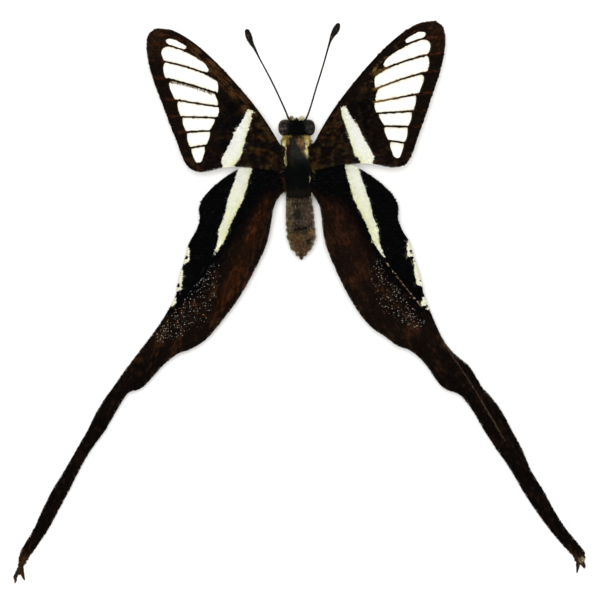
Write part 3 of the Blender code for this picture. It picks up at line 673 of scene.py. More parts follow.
# Brown along the front edge: how far in it begins and ends, where it lies along the wing, and its colour
COSTAL_BROWN = {
    "left": (0.12, 1.2, (4.5, 7.0, 13.0, 14.6), "#5c3c1e"),
    "right": (0.45, 1.5, (7.5, 10.2, 12.4, 13.8), "#523c22"),
}
RED_BLOTCHES = {"left": 0.75, "right": 0.6}  # how strongly they show at the forewing's base
RED_BLOTCH = "#452713"
OLIVE_BLOTCH = "#362d16"
GOLDEN_VEIN = "#8a682f"
GILT_EDGE = "#e2bf86"
GILT_FRONT = "#dba860"
STREAK_COLOURS = {"left": "#62300f", "right": "#552a1c"}
# Pale beads along the fold: partly pale scales, partly a painted highlight of the fold's step
FOLD_PALE_AND_HIGHLIGHT = "#c8a888"
TIP_BROWN = "#3e2816"
WORN_PATCH = "#d9cba0"

# In the next functions the numbers beside a lateral, an aft or a distance are millimetres, between which
# a colour comes in and goes out again, and single factors say how strongly it shows.


def front_brown(wing, p, away_costa, streaks, blots, broad):
    """Where brown shows along the forewing's front edge: in long streaks on the left, blots on the right."""
    begins, ends, places, _ = COSTAL_BROWN[wing.side]
    costal = between(away_costa, begins, begins + 0.3, ends, ends + 0.8) * between(p[:, 0], *places)
    if wing.side == "left":
        return 0.8 * costal * ease(streaks + 0.5 * broad, -0.5, 0.7)
    return 0.8 * costal * ease(blots + broad, -0.4, 0.8)


def golden_veins(p, away_vein, blots):
    """The veins that shine golden between the right forewing's panes."""
    gold = (1 - ease(away_vein, 0.12, 0.24)) * between(p[:, 0], 9.6, 10.4, 12.4, 13.6)
    return gold * between(p[:, 1], -12.6, -12.0, -8.0, -7.4) * (0.35 + 0.4 * ease(blots, -0.5, 0.5))


def fore_ground(wing, p, points, blots, others):
    """The forewing's dark colours: blotched at its base and rear, black in its middle, browner outwards."""
    look = settings().wings
    lateral, aft = p.T
    away_costa = distance([FORE_OUTLINE[:COSTA_POINTS]], p)
    away_vein = distance(wing.veins, points)
    streaks, broad = mottle(p, 0.16, 1.5, wing.seed, turn=41), mottle(p, 1.5, 1.5, wing.seed + 3)
    tint = np.tile(look.dark, (len(p), 1))
    disc = between(lateral, 6.0, 8.0, 9.5, 11.5) * ease(aft, -9.5, -7.5)
    tint = toward(tint, look.black, 0.8 * disc * (1 - ease(aft, -3.0, -1.5)))
    brown = front_brown(wing, p, away_costa, streaks, blots, broad)
    tint = toward(tint, linear(COSTAL_BROWN[wing.side][-1]), brown)
    tint = toward(tint, look.black, 1 - ease(away_costa, 0.04, 0.16))
    base = (1 - ease(lateral, 5.5, 7.5)) * ease(away_costa, 0.1, 0.4)
    rear = ease(aft, -3.2, -1.0) * ease(lateral, 9.0, 10.0)
    flecks = np.maximum(base, np.maximum(rear, 0.7 * disc))
    tint = toward(tint, look.black, 0.6 * flecks * ease(-blots - 0.9 * broad, -0.2, 0.7))
    red = np.maximum(base * RED_BLOTCHES[wing.side], np.maximum(rear * 0.5, disc * 0.15))
    tint = toward(tint, linear(RED_BLOTCH), red * ease(blots + 0.8 * broad, 0.0, 1.1))
    olive = np.maximum(base * 0.85, np.maximum(rear, disc) * 0.25) * ease(others + 0.8 * broad, 0.1, 1.1)
    tint = toward(tint, linear(OLIVE_BLOTCH), olive)
    apex = ease(lateral, 16.0, 18.0) * (1 - ease(aft, -15.5, -13.5))
    tint = toward(tint, look.brown, apex * (0.08 + 0.25 * ease(streaks + 0.6 * blots, -0.2, 0.8)))
    border = ease(lateral, 13.0, 15.5) * (1 - ease(away_vein, 0.05, 0.25)) * ease(blots, -0.4, 0.6)
    tint = toward(tint, look.red, border * 0.4)
    if wing.side == "right":
        tint = toward(tint, linear(GOLDEN_VEIN), golden_veins(p, away_vein, blots))
    return tint


def fore_tint(wing, points, under):
    """Colours of a forewing's scales, and which of them lie in its pale band."""
    look = settings().wings
    p = wing.shared(points)
    lateral, aft = p.T
    blots, others = mottle(p, 0.5, 0.42, wing.seed + 0.5), mottle(p, 0.6, 0.5, wing.seed + 9)
    tint = fore_ground(wing, p, points, blots, others)
    edge = wobble(p, 0.3, 0.05)
    band = inside(FORE_BAND, edge)
    green = (1 - ease(distance([FORE_BAND_INNER], p), 0.0, 0.8)) * 0.55 + 0.3 * ease(aft, -2.5, 0.0)
    pale = toward(np.tile(look.band, (len(p), 1)), look.lime, np.clip(green, 0, 1))
    pale = toward(pale, linear(GILT_EDGE), gilding(FORE_BAND, edge, others))
    if under:
        dusting = 0.38 + 0.12 * mottle(p, 1.2, 1.2, wing.seed + 2)
        dusting += 0.35 * (1 - ease(lateral, 2.5, 6.0))
        tint = toward(tint, look.under, np.clip(dusting, 0, 0.8))
    return np.where(band[:, None], pale, tint), band


def gilding(outline, points, patches):
    """How golden the edge of a pale band is, in places."""
    return 0.75 * (1 - ease(distance([outline], points, closed=True), 0.05, 0.17)) * ease(patches, 0.1, 0.7)


def fold_line(wing, points, away):
    """The pale edge of the fold in broken beads, which shows on the right wing alone: pale scales with a
    painted highlight along the fold's step, and a fainter painted highlight down the tail's crease.
    """
    if wing.side == "left":
        return 0 * away
    aft = points[:, 1]
    beads = ease(mottle(points, 0.3, 0.3, 2.2), -0.5, 0.1)
    fold = (1 - ease(away, 0.03, 0.09)) * between(aft, 12.4, 12.9, 18.2, 18.8) * beads
    fold *= 0.95 - 0.6 * between(aft, 14.3, 15.0, 16.0, 16.8)
    crease = 0.1 * (1 - ease(distance([TAIL_CREASE], points), 0.03, 0.11))
    return np.maximum(fold, crease)


def red_brown(wing, points, inner, fine, broad):
    """How strongly the red brown of the streak and the patches shows on a hindwing."""
    aft = points[:, 1]
    width, strength = STREAKS[wing.side]
    away = distance([RED_STREAK], points)
    places, shares = np.transpose(strength)
    streak = np.exp(-(((away + 0.3 * broad) / width) ** 2)) * (0.2 + 0.8 * ease(fine + broad, -0.7, 0.8))
    streak *= np.interp(aft, places, shares)
    patch = ease(fine + 0.7 * broad, 0.5, 1.2) * between(aft, 12.0, 15.0, 24.0, 28.0)
    return np.maximum(streak, patch * 0.24 * ease(inner, 0.2, 0.8))


def hind_ground(wing, points, away, inner, fine, under):
    """The hindwing's dark colours: black outside the fold, brown and streaked within, a worn brown tip."""
    look = settings().wings
    aft = points[:, 1]
    broad = mottle(points, 1.1, 3.0, wing.seed + 1, turn=-24)
    tint = np.tile(look.dark, (len(points), 1))
    within = ease(inner, 0.2, 2.4)
    tint = toward(tint, look.black, 1 - within * ease(aft, 1.0, 5.0))
    tint = toward(tint, look.brown, within * 0.2 * ease(fine + broad, -0.1, 1.2))
    tint = toward(tint, linear(STREAK_COLOURS[wing.side]), red_brown(wing, points, inner, fine, broad))
    tail = ease(aft, 20.0, 30.0)
    tint = toward(tint, look.black, tail * 0.65)
    tint = toward(tint, look.brown, tail * 0.07 * ease(fine, 0.1, 0.9))
    tip = ease(aft + 0.6 * fine, TIP_FROM - 1.2, TIP_FROM + 1.2)
    tint = toward(tint, linear(TIP_BROWN), tip * (0.4 + 0.6 * ease(fine, -0.5, 0.5)))
    if not under:
        # Painted highlight along the fold's step and the tail's crease, over the fold's pale scales
        tint = toward(tint, linear(FOLD_PALE_AND_HIGHLIGHT), fold_line(wing, points, away))
    if wing.side == "right":
        worn = 1 - ease(np.hypot(*(points - np.array(WORN_SPOT)).T), 0.2, 0.5)
        tint = toward(tint, linear(WORN_PATCH), worn * 0.7 * ease(fine, -0.4, 0.5))
    if under:
        dusting = 0.3 + 0.12 * mottle(points, 1.4, 2.4, wing.seed + 2)
        dusting += 0.45 * (1 - ease(np.hypot(points[:, 0], aft - 4.0), 4.0, 11.0))
        tint = toward(tint, look.under, np.clip(dusting, 0, 0.85) * (1 - 0.7 * tail))
    return tint


def white_edge(wing, points, edge, inner):
    """Which points lie in the white edge of a hindwing, apart from the dark tips of its veins."""
    aft = points[:, 1]
    _, way, _ = measure([WHITE_EDGE[wing.side]], edge)
    first, last = WHITE_EDGE[wing.side][0][1], WHITE_EDGE[wing.side][-1][1]
    white = (way < 0) & (aft > first) & (aft < last) & (inner < 0)
    for spot in DARK_TIPS[wing.side]:
        white &= np.hypot(*(points - np.array(spot)).T) > DARK_TIP_SIZE
    return white


def hind_tint(wing, points, under):
    """Colours of a hindwing's scales, and which of them are pale, in its band or its white edge."""
    look = settings().wings
    aft = points[:, 1]
    away, side, _ = measure([FOLD], points)
    inner = away * side
    fine = mottle(points, 0.3, 0.8, wing.seed, turn=-24)
    tint = hind_ground(wing, points, away, inner, fine, under)
    edge = wobble(points, 0.3, 0.04)
    white = white_edge(wing, points, edge, inner)
    band = inside(HIND_BAND, edge) & (inner < 0.05)
    green = 0.12 + (1 - ease(distance([HIND_BAND_INNER], points), 0.0, 0.9)) * 0.4 + 0.3 * ease(aft, 1.0, 7.0)
    pale = toward(np.tile(look.band, (len(points), 1)), look.lime, np.clip(green, 0, 1))
    pale = toward(pale, linear(GILT_EDGE), gilding(HIND_BAND, edge, fine))
    if wing.side == "right":
        pale = toward(pale, linear(GILT_FRONT), (1 - ease(aft, -0.5, 0.2)) * 0.7 * ease(fine, -0.6, 0.3))
    tint = np.where(band[:, None], pale, tint)
    return np.where(white[:, None], np.array(look.white), tint), band | white


def wing_tint(wing, points, under):
    return (fore_tint if wing.kind == "fore" else hind_tint)(wing, points, under)


# Making pieces


def to_frame(points):
    """Millimetre points of (signed lateral, aft, height) as metres in the part's own frame."""
    return (np.asarray(points) + (0.0, THORAX_AFT, 0.0)) * MM


def row(lateral, aft, up):
    return Vector((lateral, aft + THORAX_AFT, up)) * MM


def place(obj, finish, nodes=()):
    """Links a piece, gives it its finish, and lets it ride on the one body."""
    bpy.context.scene.collection.objects.link(obj)
    obj.data.materials.append(FINISHES[finish]())
    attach(obj, "root")
    if nodes:
        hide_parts(*nodes)
    return obj


def finished(name, bm, finish, nodes=(), crease=40):
    """A piece from a bmesh, its faces outwards, shaded smooth but for its sharp edges."""
    bmesh.ops.recalc_face_normals(bm, faces=bm.faces)
    if bm.calc_volume(signed=True) < 0:
        bmesh.ops.reverse_faces(bm, faces=bm.faces)
    mesh = bpy.data.meshes.new(name)
    bm.to_mesh(mesh)
    bm.free()
    mesh.shade_smooth()
    mesh.set_sharp_from_angle(angle=math.radians(crease))
    return place(bpy.data.objects.new(name, mesh), finish, nodes)


def corner_points(mesh):
    """The places of a mesh's vertices in millimetres: signed lateral, aft and height."""
    flat = np.empty(len(mesh.vertices) * 3)
    mesh.vertices.foreach_get("co", flat)
    return flat.reshape(-1, 3) / MM - (0.0, THORAX_AFT, 0.0)


def paint(mesh, tints):
    """Colours at the vertices, which the finish reads as the attribute called tint."""
    layer = mesh.color_attributes.new("tint", "FLOAT_COLOR", "POINT")
    layer.data.foreach_set("color", np.column_stack([tints, np.ones(len(tints))]).ravel())


# One small thing as (share of length, share of width, share of width outwards) and its triangles
SCALE_SHAPE = (
    [(0, 0, 0), (0.42, 0.5, 0), (0.86, 0.42, 0), (1, 0, 0), (0.86, -0.42, 0), (0.42, -0.5, 0),
     (0.55, 0, 0.06), (0.55, 0, -0.06)],
    [(i, (i + 1) % 6, 6) for i in range(6)] + [((i + 1) % 6, i, 7) for i in range(6)],
)
HAIR_SHAPE = (
    [(0, 0.5, 0), (0, -0.25, 0.43), (0, -0.25, -0.43), (0.5, 0.35, 0), (0.5, -0.18, 0.3), (0.5, -0.18, -0.3),
     (1, 0, 0)],
    [(0, 1, 2)] + [t for i in range(3) for j in [(i + 1) % 3] for t in ((i, i + 3, j), (j, i + 3, j + 3))]
    + [(i + 3, 6, (i + 1) % 3 + 3) for i in range(3)],
)
PATCH = 0.003  # how wide the coat's map shows one scale or hair


def plant(name, shape, roots, along, out, long, wide, tints, unwrap, finish, curl=0.0, nodes=()):
    """Many scales or hairs as one mesh. Directions are unit vectors, and curl bends tips back inwards."""
    corners, faces = (np.array(part, dtype=float if k == 0 else int) for k, part in enumerate(shape))
    out = unit(out - along * (out * along).sum(1, keepdims=True))
    across = np.cross(out, along)
    far = corners[None, :, 0] * long[:, None]
    drop = -curl * corners[None, :, 0] ** 2 * long[:, None]
    points = roots[:, None] + far[..., None] * along[:, None]
    points = points + (corners[None, :, 1] * wide[:, None])[..., None] * across[:, None]
    points = points + (corners[None, :, 2] * wide[:, None] + drop)[..., None] * out[:, None]
    count, size = len(roots), len(corners)
    loops = (np.arange(count)[:, None, None] * size + faces).reshape(-1)
    mesh = bpy.data.meshes.new(name)
    mesh.vertices.add(count * size)
    mesh.vertices.foreach_set("co", to_frame(points.reshape(-1, 3)).ravel())
    mesh.loops.add(len(loops))
    mesh.loops.foreach_set("vertex_index", loops)
    mesh.polygons.add(len(loops) // 3)
    mesh.polygons.foreach_set("loop_start", np.arange(0, len(loops), 3))
    mesh.update(calc_edges=True)
    paint(mesh, np.repeat(tints, size, axis=0))
    local = (corners[:, :2] - (0.5, 0.0)) * PATCH
    spread = (np.clip(unwrap, 0.004, 0.996)[:, None] + local).reshape(-1, 2)[loops]
    mesh.uv_layers.new(name="OFBake").data.foreach_set("uv", spread.ravel())
    if shape is HAIR_SHAPE:
        mesh.shade_smooth()
    return place(bpy.data.objects.new(name, mesh), finish, nodes)


LEAST_RADIUS = 0.004  # a tube ends in a ring of this size, which a face closes


def sweep(bm, path, radii, sides):
    """A closed tube along a path of millimetre points: one ring of vertices, extruded and turned along."""
    spots = [row(*point[:3]) for point in path]
    made = bmesh.ops.create_circle(bm, cap_ends=False, radius=1.0, segments=sides)["verts"]
    edges = list({edge for vert in made for edge in vert.link_edges})
    ends = list(edges)
    before, last = Matrix.Identity(4), None
    for i, spot in enumerate(spots):
        way = (spots[min(i + 1, len(spots) - 1)] - spots[max(i - 1, 0)]).normalized()
        side = last - way * last.dot(way) if last is not None else way.orthogonal()
        last = side.normalized()
        turn = Matrix((last, way.cross(last), way)).transposed()
        after = Matrix.Translation(spot) @ turn.to_4x4() @ Matrix.Scale(max(radii[i], LEAST_RADIUS) * MM, 4)
        if i:
            grown = bmesh.ops.extrude_edge_only(bm, edges=edges)["geom"]
            made = [item for item in grown if isinstance(item, bmesh.types.BMVert)]
            ring = set(made)
            edges = [item for item in grown if isinstance(item, bmesh.types.BMEdge)]
            edges = [edge for edge in edges if set(edge.verts) <= ring]
        bmesh.ops.transform(bm, matrix=after @ before.inverted(), verts=made)
        before = after
    bmesh.ops.holes_fill(bm, edges=ends + edges, sides=sides)


# Finishes


def add(tree, kind, inputs=(), **values):
    """Adds a node, sets its values, and sets or links its inputs by name."""
    node = tree.nodes.new("ShaderNode" + kind)
    for name, value in values.items():
        setattr(node, name, value)
    for name, value in dict(inputs).items():
        if isinstance(value, bpy.types.NodeSocket):
            tree.links.new(value, node.inputs[name])
        else:
            node.inputs[name].default_value = value
    return node


def new_finish(name, roughness, specular, **plain):
    """A material with its shader, its tree, and the object coordinates that its patterns read."""
    made = bpy.data.materials.new(name)
    made.use_nodes = True
    tree = made.node_tree
    shader = tree.nodes["Principled BSDF"]
    shader.inputs["Roughness"].default_value = roughness
    shader.inputs["Specular IOR Level"].default_value = specular
    for socket, value in plain.items():
        shader.inputs[socket.replace("_", " ")].default_value = value
    return made, tree, shader, add(tree, "TexCoord").outputs["Object"]


def grain(tree, where, size, detail=2.0, rough=0.5):
    """Soft noise whose patches are about a size in millimetres wide."""
    look = {"Vector": where, "Scale": 1000 / size, "Detail": detail, "Roughness": rough}
    return add(tree, "TexNoise", look).outputs["Fac"]


def spread(tree, value, low, high, to_low, to_high):
    look = {"Value": value, "From Min": low, "From Max": high, "To Min": to_low, "To Max": to_high}
    return add(tree, "MapRange", look).outputs["Result"]


def tinted(tree, shader, where, size, low, high):
    """Takes the colour from the tint at the vertices, lightened and darkened by patches of a size."""
    tint = add(tree, "Attribute", attribute_name="tint").outputs["Color"]
    shade = spread(tree, grain(tree, where, size), 0.3, 0.7, low, high)
    scaled = add(tree, "VectorMath", {0: tint, "Scale": shade}, operation="SCALE")
    tree.links.new(scaled.outputs["Vector"], shader.inputs["Base Color"])


def raised(tree, shader, height, depth, strength=1.0):
    """Bump of a depth in millimetres."""
    look = {"Height": height, "Distance": depth * MM, "Strength": strength}
    tree.links.new(add(tree, "Bump", look).outputs["Normal"], shader.inputs["Normal"])


def dusted_scales():
    """Chitin wing scales, grown in rows and ribbed lengthwise, which gives a matt, velvety black. The
    real ribs are 0.002 mm apart and are drawn at 0.05 mm."""
    made, tree, shader, where = new_finish("dusted_scales", 0.6, 0.018)
    tinted(tree, shader, where, 0.5, 0.94, 1.05)
    ribs = grain(tree, where, 0.05)
    tree.links.new(spread(tree, ribs, 0.3, 0.7, 0.52, 0.75), shader.inputs["Roughness"])
    raised(tree, shader, ribs, 0.012)
    return made


def wing_chitin():
    """Dry wing membrane, a thin sheet of chitin that shows between scales and along bare edges."""
    made, tree, shader, where = new_finish("wing_chitin", 0.5, 0.06)
    tinted(tree, shader, where, 0.8, 0.75, 1.2)
    raised(tree, shader, grain(tree, where, 0.25, 4.0), 0.02)
    return made


def clear_pane():
    """Bare wing membrane, as thin as film and faintly milky, yellower at its rim, with the fine wrinkles
    of drying."""
    made, tree, shader, where = new_finish("clear_pane", 0.28, 0.35, Alpha=0.42)
    tinted(tree, shader, where, 1.6, 0.96, 1.02)
    raised(tree, shader, grain(tree, where, 0.35, 3.0), 0.02)
    return made


def vein_chitin():
    """Hardened chitin of the veins: dark brown, smoother than the scales."""
    made, tree, shader, where = new_finish("vein_chitin", 0.45, 0.08)
    tinted(tree, shader, where, 0.4, 0.6, 1.4)
    raised(tree, shader, grain(tree, where, 0.12), 0.02)
    return made


def body_hair():
    """Dry insect hair: hollow chitin bristles with a dull shine along them."""
    made, tree, shader, where = new_finish("body_hair", 0.6, 0.04)
    tinted(tree, shader, where, 0.3, 0.7, 1.3)
    raised(tree, shader, grain(tree, where, 0.04), 0.006)
    return made


def body_cuticle():
    """Skin under the hair, in the hair's own colours, pitted where the hairs are rooted."""
    made, tree, shader, where = new_finish("body_cuticle", 0.65, 0.05)
    tinted(tree, shader, where, 0.25, 0.55, 1.1)
    raised(tree, shader, grain(tree, where, 0.12, 3.0), 0.04)
    return made


def body_scales():
    """Flat body scales, greyer and duller than those of the wings."""
    made, tree, shader, where = new_finish("body_scales", 0.65, 0.05)
    tinted(tree, shader, where, 0.3, 0.75, 1.25)
    raised(tree, shader, grain(tree, where, 0.05), 0.012)
    return made


def faceted_eye():
    """Compound eye: a dome of chitin lenses, dark purple brown, its gloss dulled by drying. The lenses
    are 0.025 mm wide in life and are drawn at 0.07 mm."""
    made, tree, shader, where = new_finish("faceted_eye", 0.42, 0.05)
    lenses = add(tree, "TexVoronoi", {"Vector": where, "Scale": 1000 / 0.07})
    tinted(tree, shader, where, 0.3, 0.8, 1.2)
    tree.links.new(spread(tree, grain(tree, where, 0.7), 0.3, 0.7, 0.35, 0.55), shader.inputs["Roughness"])
    raised(tree, shader, lenses.outputs["Distance"], -0.006)
    return made


def dark_cuticle():
    """Bare cuticle of feelers, legs and tongue: black brown, hard and slightly glossy."""
    made, tree, shader, where = new_finish("dark_cuticle", 0.38, 0.12)
    cloud = spread(tree, grain(tree, where, 0.5, 3.0), 0.3, 0.7, 0.0, 1.0)
    look = {0: cloud, 6: (*linear("#060606"), 1), 7: (*linear("#1e1712"), 1)}
    mixed = add(tree, "Mix", look, data_type="RGBA")
    tree.links.new(mixed.outputs[2], shader.inputs["Base Color"])
    raised(tree, shader, grain(tree, where, 0.06), 0.01)
    return made


def feeler_cuticle():
    """Black cuticle of the feelers under a thin dust of scales, with a few golden ones on the clubs."""
    made, tree, shader, where = new_finish("feeler_cuticle", 0.5, 0.06)
    cloud = spread(tree, grain(tree, where, 0.5, 3.0), 0.3, 0.7, 0.0, 1.0)
    look = {0: cloud, 6: (*linear("#050505"), 1), 7: (*linear("#131110"), 1)}
    black = add(tree, "Mix", look, data_type="RGBA").outputs[2]
    specks = spread(tree, grain(tree, where, 0.22), 0.66, 0.7, 0.0, 0.7)
    look = {0: specks, 6: black, 7: (*linear("#8a6a30"), 1)}
    mixed = add(tree, "Mix", look, data_type="RGBA")
    tree.links.new(mixed.outputs[2], shader.inputs["Base Color"])
    raised(tree, shader, grain(tree, where, 0.06), 0.008)
    return made


def pale_board():
    """Painted board: smooth, white and matt, with a trace of roller texture."""
    made, tree, shader, where = new_finish("pale_board", 0.85, 0.2)
    shade = spread(tree, grain(tree, where, 40.0, 3.0), 0.3, 0.7, 0.985, 1.0)
    scaled = add(tree, "VectorMath", {0: tuple(settings().stage.floor), "Scale": shade}, operation="SCALE")
    tree.links.new(scaled.outputs["Vector"], shader.inputs["Base Color"])
    raised(tree, shader, grain(tree, where, 2.0), 0.02)
    return made


def once(make):
    """The material that a function makes, made only the first time."""
    return lambda: bpy.data.materials.get(make.__name__) or make()


FINISHES = {
    make.__name__: once(make)
    for make in (
        dusted_scales, wing_chitin, clear_pane, vein_chitin, body_hair, body_cuticle, body_scales,
        faceted_eye, dark_cuticle, feeler_cuticle, pale_board,
    )
}


# Wings


def grid_in(outline, step, room):
    """Points of a brick pattern inside an outline, clear of its edge."""
    low, high = np.min(outline, axis=0), np.max(outline, axis=0)
    columns, rows = (np.arange(low[k], high[k], step) for k in (0, 1))
    spots = np.stack(np.meshgrid(columns, rows), -1)
    spots[1::2, :, 0] += step / 2
    spots = spots.reshape(-1, 2)
    away, _, _ = measure([outline], spots, closed=True)
    return spots[inside(outline, spots) & (away > room)]


def sheet(name, wing, outline, thickness, finish, holes=(), nodes=()):
    """A thin sheet of even thickness on the wing's surface, with holes left in it."""
    points, rims = [], []
    for rim in (outline, *holes):
        rims.append(list(range(len(points), len(points) + len(rim))))
        points += [Vector(p) for p in (rim if area(rim) > 0 else rim[::-1])]
    spots = grid_in(outline, GRID_STEP, GRID_STEP * 0.4)
    for hole in holes:
        away, _, _ = measure([hole], spots, closed=True)
        spots = spots[~inside(hole, spots) & (away > GRID_STEP * 0.4)]
    points += [Vector(p) for p in spots]
    flat, _, triangles, _, _, sources = delaunay_2d_cdt(points, [], rims, 1, 1e-5)
    triangles = [t for t, source in zip(triangles, sources) if list(source) == [0]]
    used = sorted({i for t in triangles for i in t})
    heights = dict(zip(used, wing.level(np.array([flat[i] for i in used]))))
    bm = bmesh.new()
    corners, tops = {}, {}
    for i in used:
        corner = bm.verts.new(row(wing.sign * flat[i].x, flat[i].y, heights[i] - thickness / 2))
        corners[i] = corner
        tops[corner.co.x, corner.co.y] = (heights[i] + thickness / 2) * MM
    for triangle in triangles:
        bm.faces.new([corners[i] for i in triangle])
    for item in bmesh.ops.extrude_face_region(bm, geom=bm.faces[:])["geom"]:
        if isinstance(item, bmesh.types.BMVert):
            item.co.z = tops[item.co.x, item.co.y]
    return finished(name, bm, finish, nodes)


BARE_SHADE = 0.6  # the bare membrane's tone against that of dark scales


def build_membrane(wing):
    look = settings().wings
    thickness = mm(look.membrane)
    name = f"{wing.kind}wing_membrane_{wing.side}"
    holes = [inset(pane, lambda p: 0.01) for pane in wing.panes]
    made = sheet(name, wing, wing.margin, thickness, "wing_chitin", holes, wing.nodes)
    corners = corner_points(made.data)
    flat = corners[:, :2] * (wing.sign, 1)
    top = corners[:, 2] > wing.level(flat)
    (above, pale), (below, _) = wing_tint(wing, flat, False), wing_tint(wing, flat, True)
    above = np.where(pale[:, None], above, above * BARE_SHADE)
    paint(made.data, np.where(top[:, None], above, below))


def build_panes(wing):
    """The bare panes of a forewing, one closed sheet each, yellower towards the rim."""
    for i, pane in enumerate(wing.panes):
        name = f"clear_pane_{i + 1}_{wing.side}"
        made = sheet(name, wing, inset(pane, lambda p: -0.04), mm(settings().wings.pane), "clear_pane")
        flat = corner_points(made.data)[:, :2] * (wing.sign, 1)
        away, _, _ = measure([pane], flat, closed=True)
        clear = np.tile(linear("#fffdf6"), (len(flat), 1))
        rim = (1 - ease(away, 0.0, 0.25)) * (0.5 + 0.5 * ease(mottle(flat, 0.6, 0.6, wing.seed), -0.5, 0.5))
        paint(made.data, toward(clear, linear("#e8d49a"), 0.7 * rim))


def longest_run(flags):
    """The longest stretch of flags that are set, as a slice."""
    best = start = 0
    stretch = slice(0, 0)
    for i, flag in enumerate([*flags, False]):
        if not flag:
            if i - start > best:
                best, stretch = i - start, slice(start, i)
            start = i + 1
    return stretch


def build_veins(wing):
    """Tubes half sunk in the membrane, thinner towards the margin."""
    look = settings().wings
    bm = bmesh.new()
    for vein in wing.veins:
        flat = np.array([tuple(p) for p in vein])
        away = distance([wing.margin], flat, closed=True)
        flat = flat[longest_run(inside(wing.margin, flat) & (away > 0.05))]
        share = np.linspace(0, 1, len(flat))
        slim = np.clip((flat[:, 1] - TAIL_FROM) / 30 if wing.kind == "hind" else 0 * share, 0, 0.5)
        radii = mm(look.vein) * (1 - 0.5 * share) * (1 - slim)
        sunk = 0.02 + 0.14 * wing_tint(wing, flat, False)[1]
        path = np.column_stack([flat[:, 0] * wing.sign, flat[:, 1], wing.level(flat) - sunk])
        sweep(bm, path, radii, 8)
    made = finished(f"{wing.kind}wing_veins_{wing.side}", bm, "vein_chitin")
    flat = corner_points(made.data)[:, :2] * (wing.sign, 1)
    tints, pale = wing_tint(wing, flat, False)
    dark = toward(tints, look.brown, np.full(len(flat), 0.05)) * 0.8
    paint(made.data, np.where(pale[:, None], tints, dark))


def scale_roots(wing, rng, size):
    """Roots of the scales: a jittered brick pattern inside the margin, none in or over a pane."""
    look = settings().wings
    across, along, long = (mm(v) * size for v in (look.file_pitch, look.row_pitch, look.scale_length))
    low, high = np.min(wing.margin, axis=0), np.max(wing.margin, axis=0)
    spots = np.stack(np.meshgrid(np.arange(low[0], high[0], across), np.arange(low[1], high[1], along)), -1)
    spots[1::2, :, 0] += across / 2
    spots = spots.reshape(-1, 2)
    spots = spots + rng.uniform(-0.32, 0.32, spots.shape) * (across, along)
    spots = spots[inside(wing.margin, spots)]
    spots = spots[~wing.in_panes(spots)]
    _, _, lie = measure(wing.veins, spots)
    clear = ~wing.in_panes(spots + lie * long * 0.8) & ~wing.in_panes(spots + lie * long * 0.4)
    clear &= inside(wing.outline, spots + lie * long * 0.85)
    clear &= (spots[:, 1] < TIP_FROM) | (rng.random(len(spots)) < 0.5)
    for share in (0.0, 0.5, 1.0):
        clear &= measure([wing.costa], spots + lie * long * share)[0] > 0.12
    return spots[clear], lie[clear]


def lay_scales(name, wing, spots, lie, under, rng, long, wide, tints, lift=(5, 13), rise=0.0, ridges=1.0):
    """Scales on the upper or the under face, each turned, rolled and lifted a little at random."""
    count = len(spots)
    yaw = rng.normal(0, math.radians(9), count)
    c, s = np.cos(yaw), np.sin(yaw)
    lie = np.stack([lie[:, 0] * c - lie[:, 1] * s, lie[:, 0] * s + lie[:, 1] * c], 1)
    long = long * rng.uniform(0.85, 1.15, count)
    wide = wide * rng.uniform(0.85, 1.15, count)
    face = -1 if under else 1
    (here, ridge), there = wing.ridged(spots), wing.level(spots + lie * long[:, None])
    half = mm(settings().wings.membrane) / 2 + ridge * ridges
    slope = (there - here) / long + face * np.tan(np.radians(rng.uniform(*lift, count)))
    roots = np.column_stack([spots[:, 0] * wing.sign, spots[:, 1], here + face * (half + rise)])
    along = np.column_stack([lie[:, 0] * wing.sign, lie[:, 1], slope])
    along = unit(along)
    out = np.tile((0.0, 0.0, float(face)), (count, 1)) + rng.normal(0, 0.09, (count, 3))
    return plant(name, SCALE_SHAPE, roots, along, out, long, wide, tints, wing.unwrap(spots), "dusted_scales")


SCALE_STALK = 0.04  # how far the foot of a scale stands above the membrane


def build_scale_coat(wing, under):
    look = settings().wings
    rng = np.random.default_rng(wing.seed * 2 + under)
    size = look.under_size if under else 1.0
    spots, lie = scale_roots(wing, rng, size)
    long, wide = mm(look.scale_length) * size, mm(look.scale_width) * size
    tints, pale = wing_tint(wing, spots + lie * long * 0.5, under)
    shade = np.where(pale, rng.normal(1, 0.03, len(spots)), rng.normal(1, 0.2, len(spots)))
    tints = tints * np.clip(shade, 0.4, 1.8)[:, None]
    odd = (rng.random(len(spots)) < 0.006) & ~pale & (tints[:, 0] > 0.004)
    tints[odd] = toward(tints[odd], look.brown, rng.uniform(0.05, 0.3, odd.sum()))
    name = f"{wing.kind}wing_scales_{'under' if under else 'upper'}_{wing.side}"
    lift = (np.where(pale, 2, 5), np.where(pale, 6, 12))
    tints = np.clip(tints, 0, 1)
    lay_scales(name, wing, spots, lie, under, rng, long, wide, tints, lift, SCALE_STALK, ~pale)


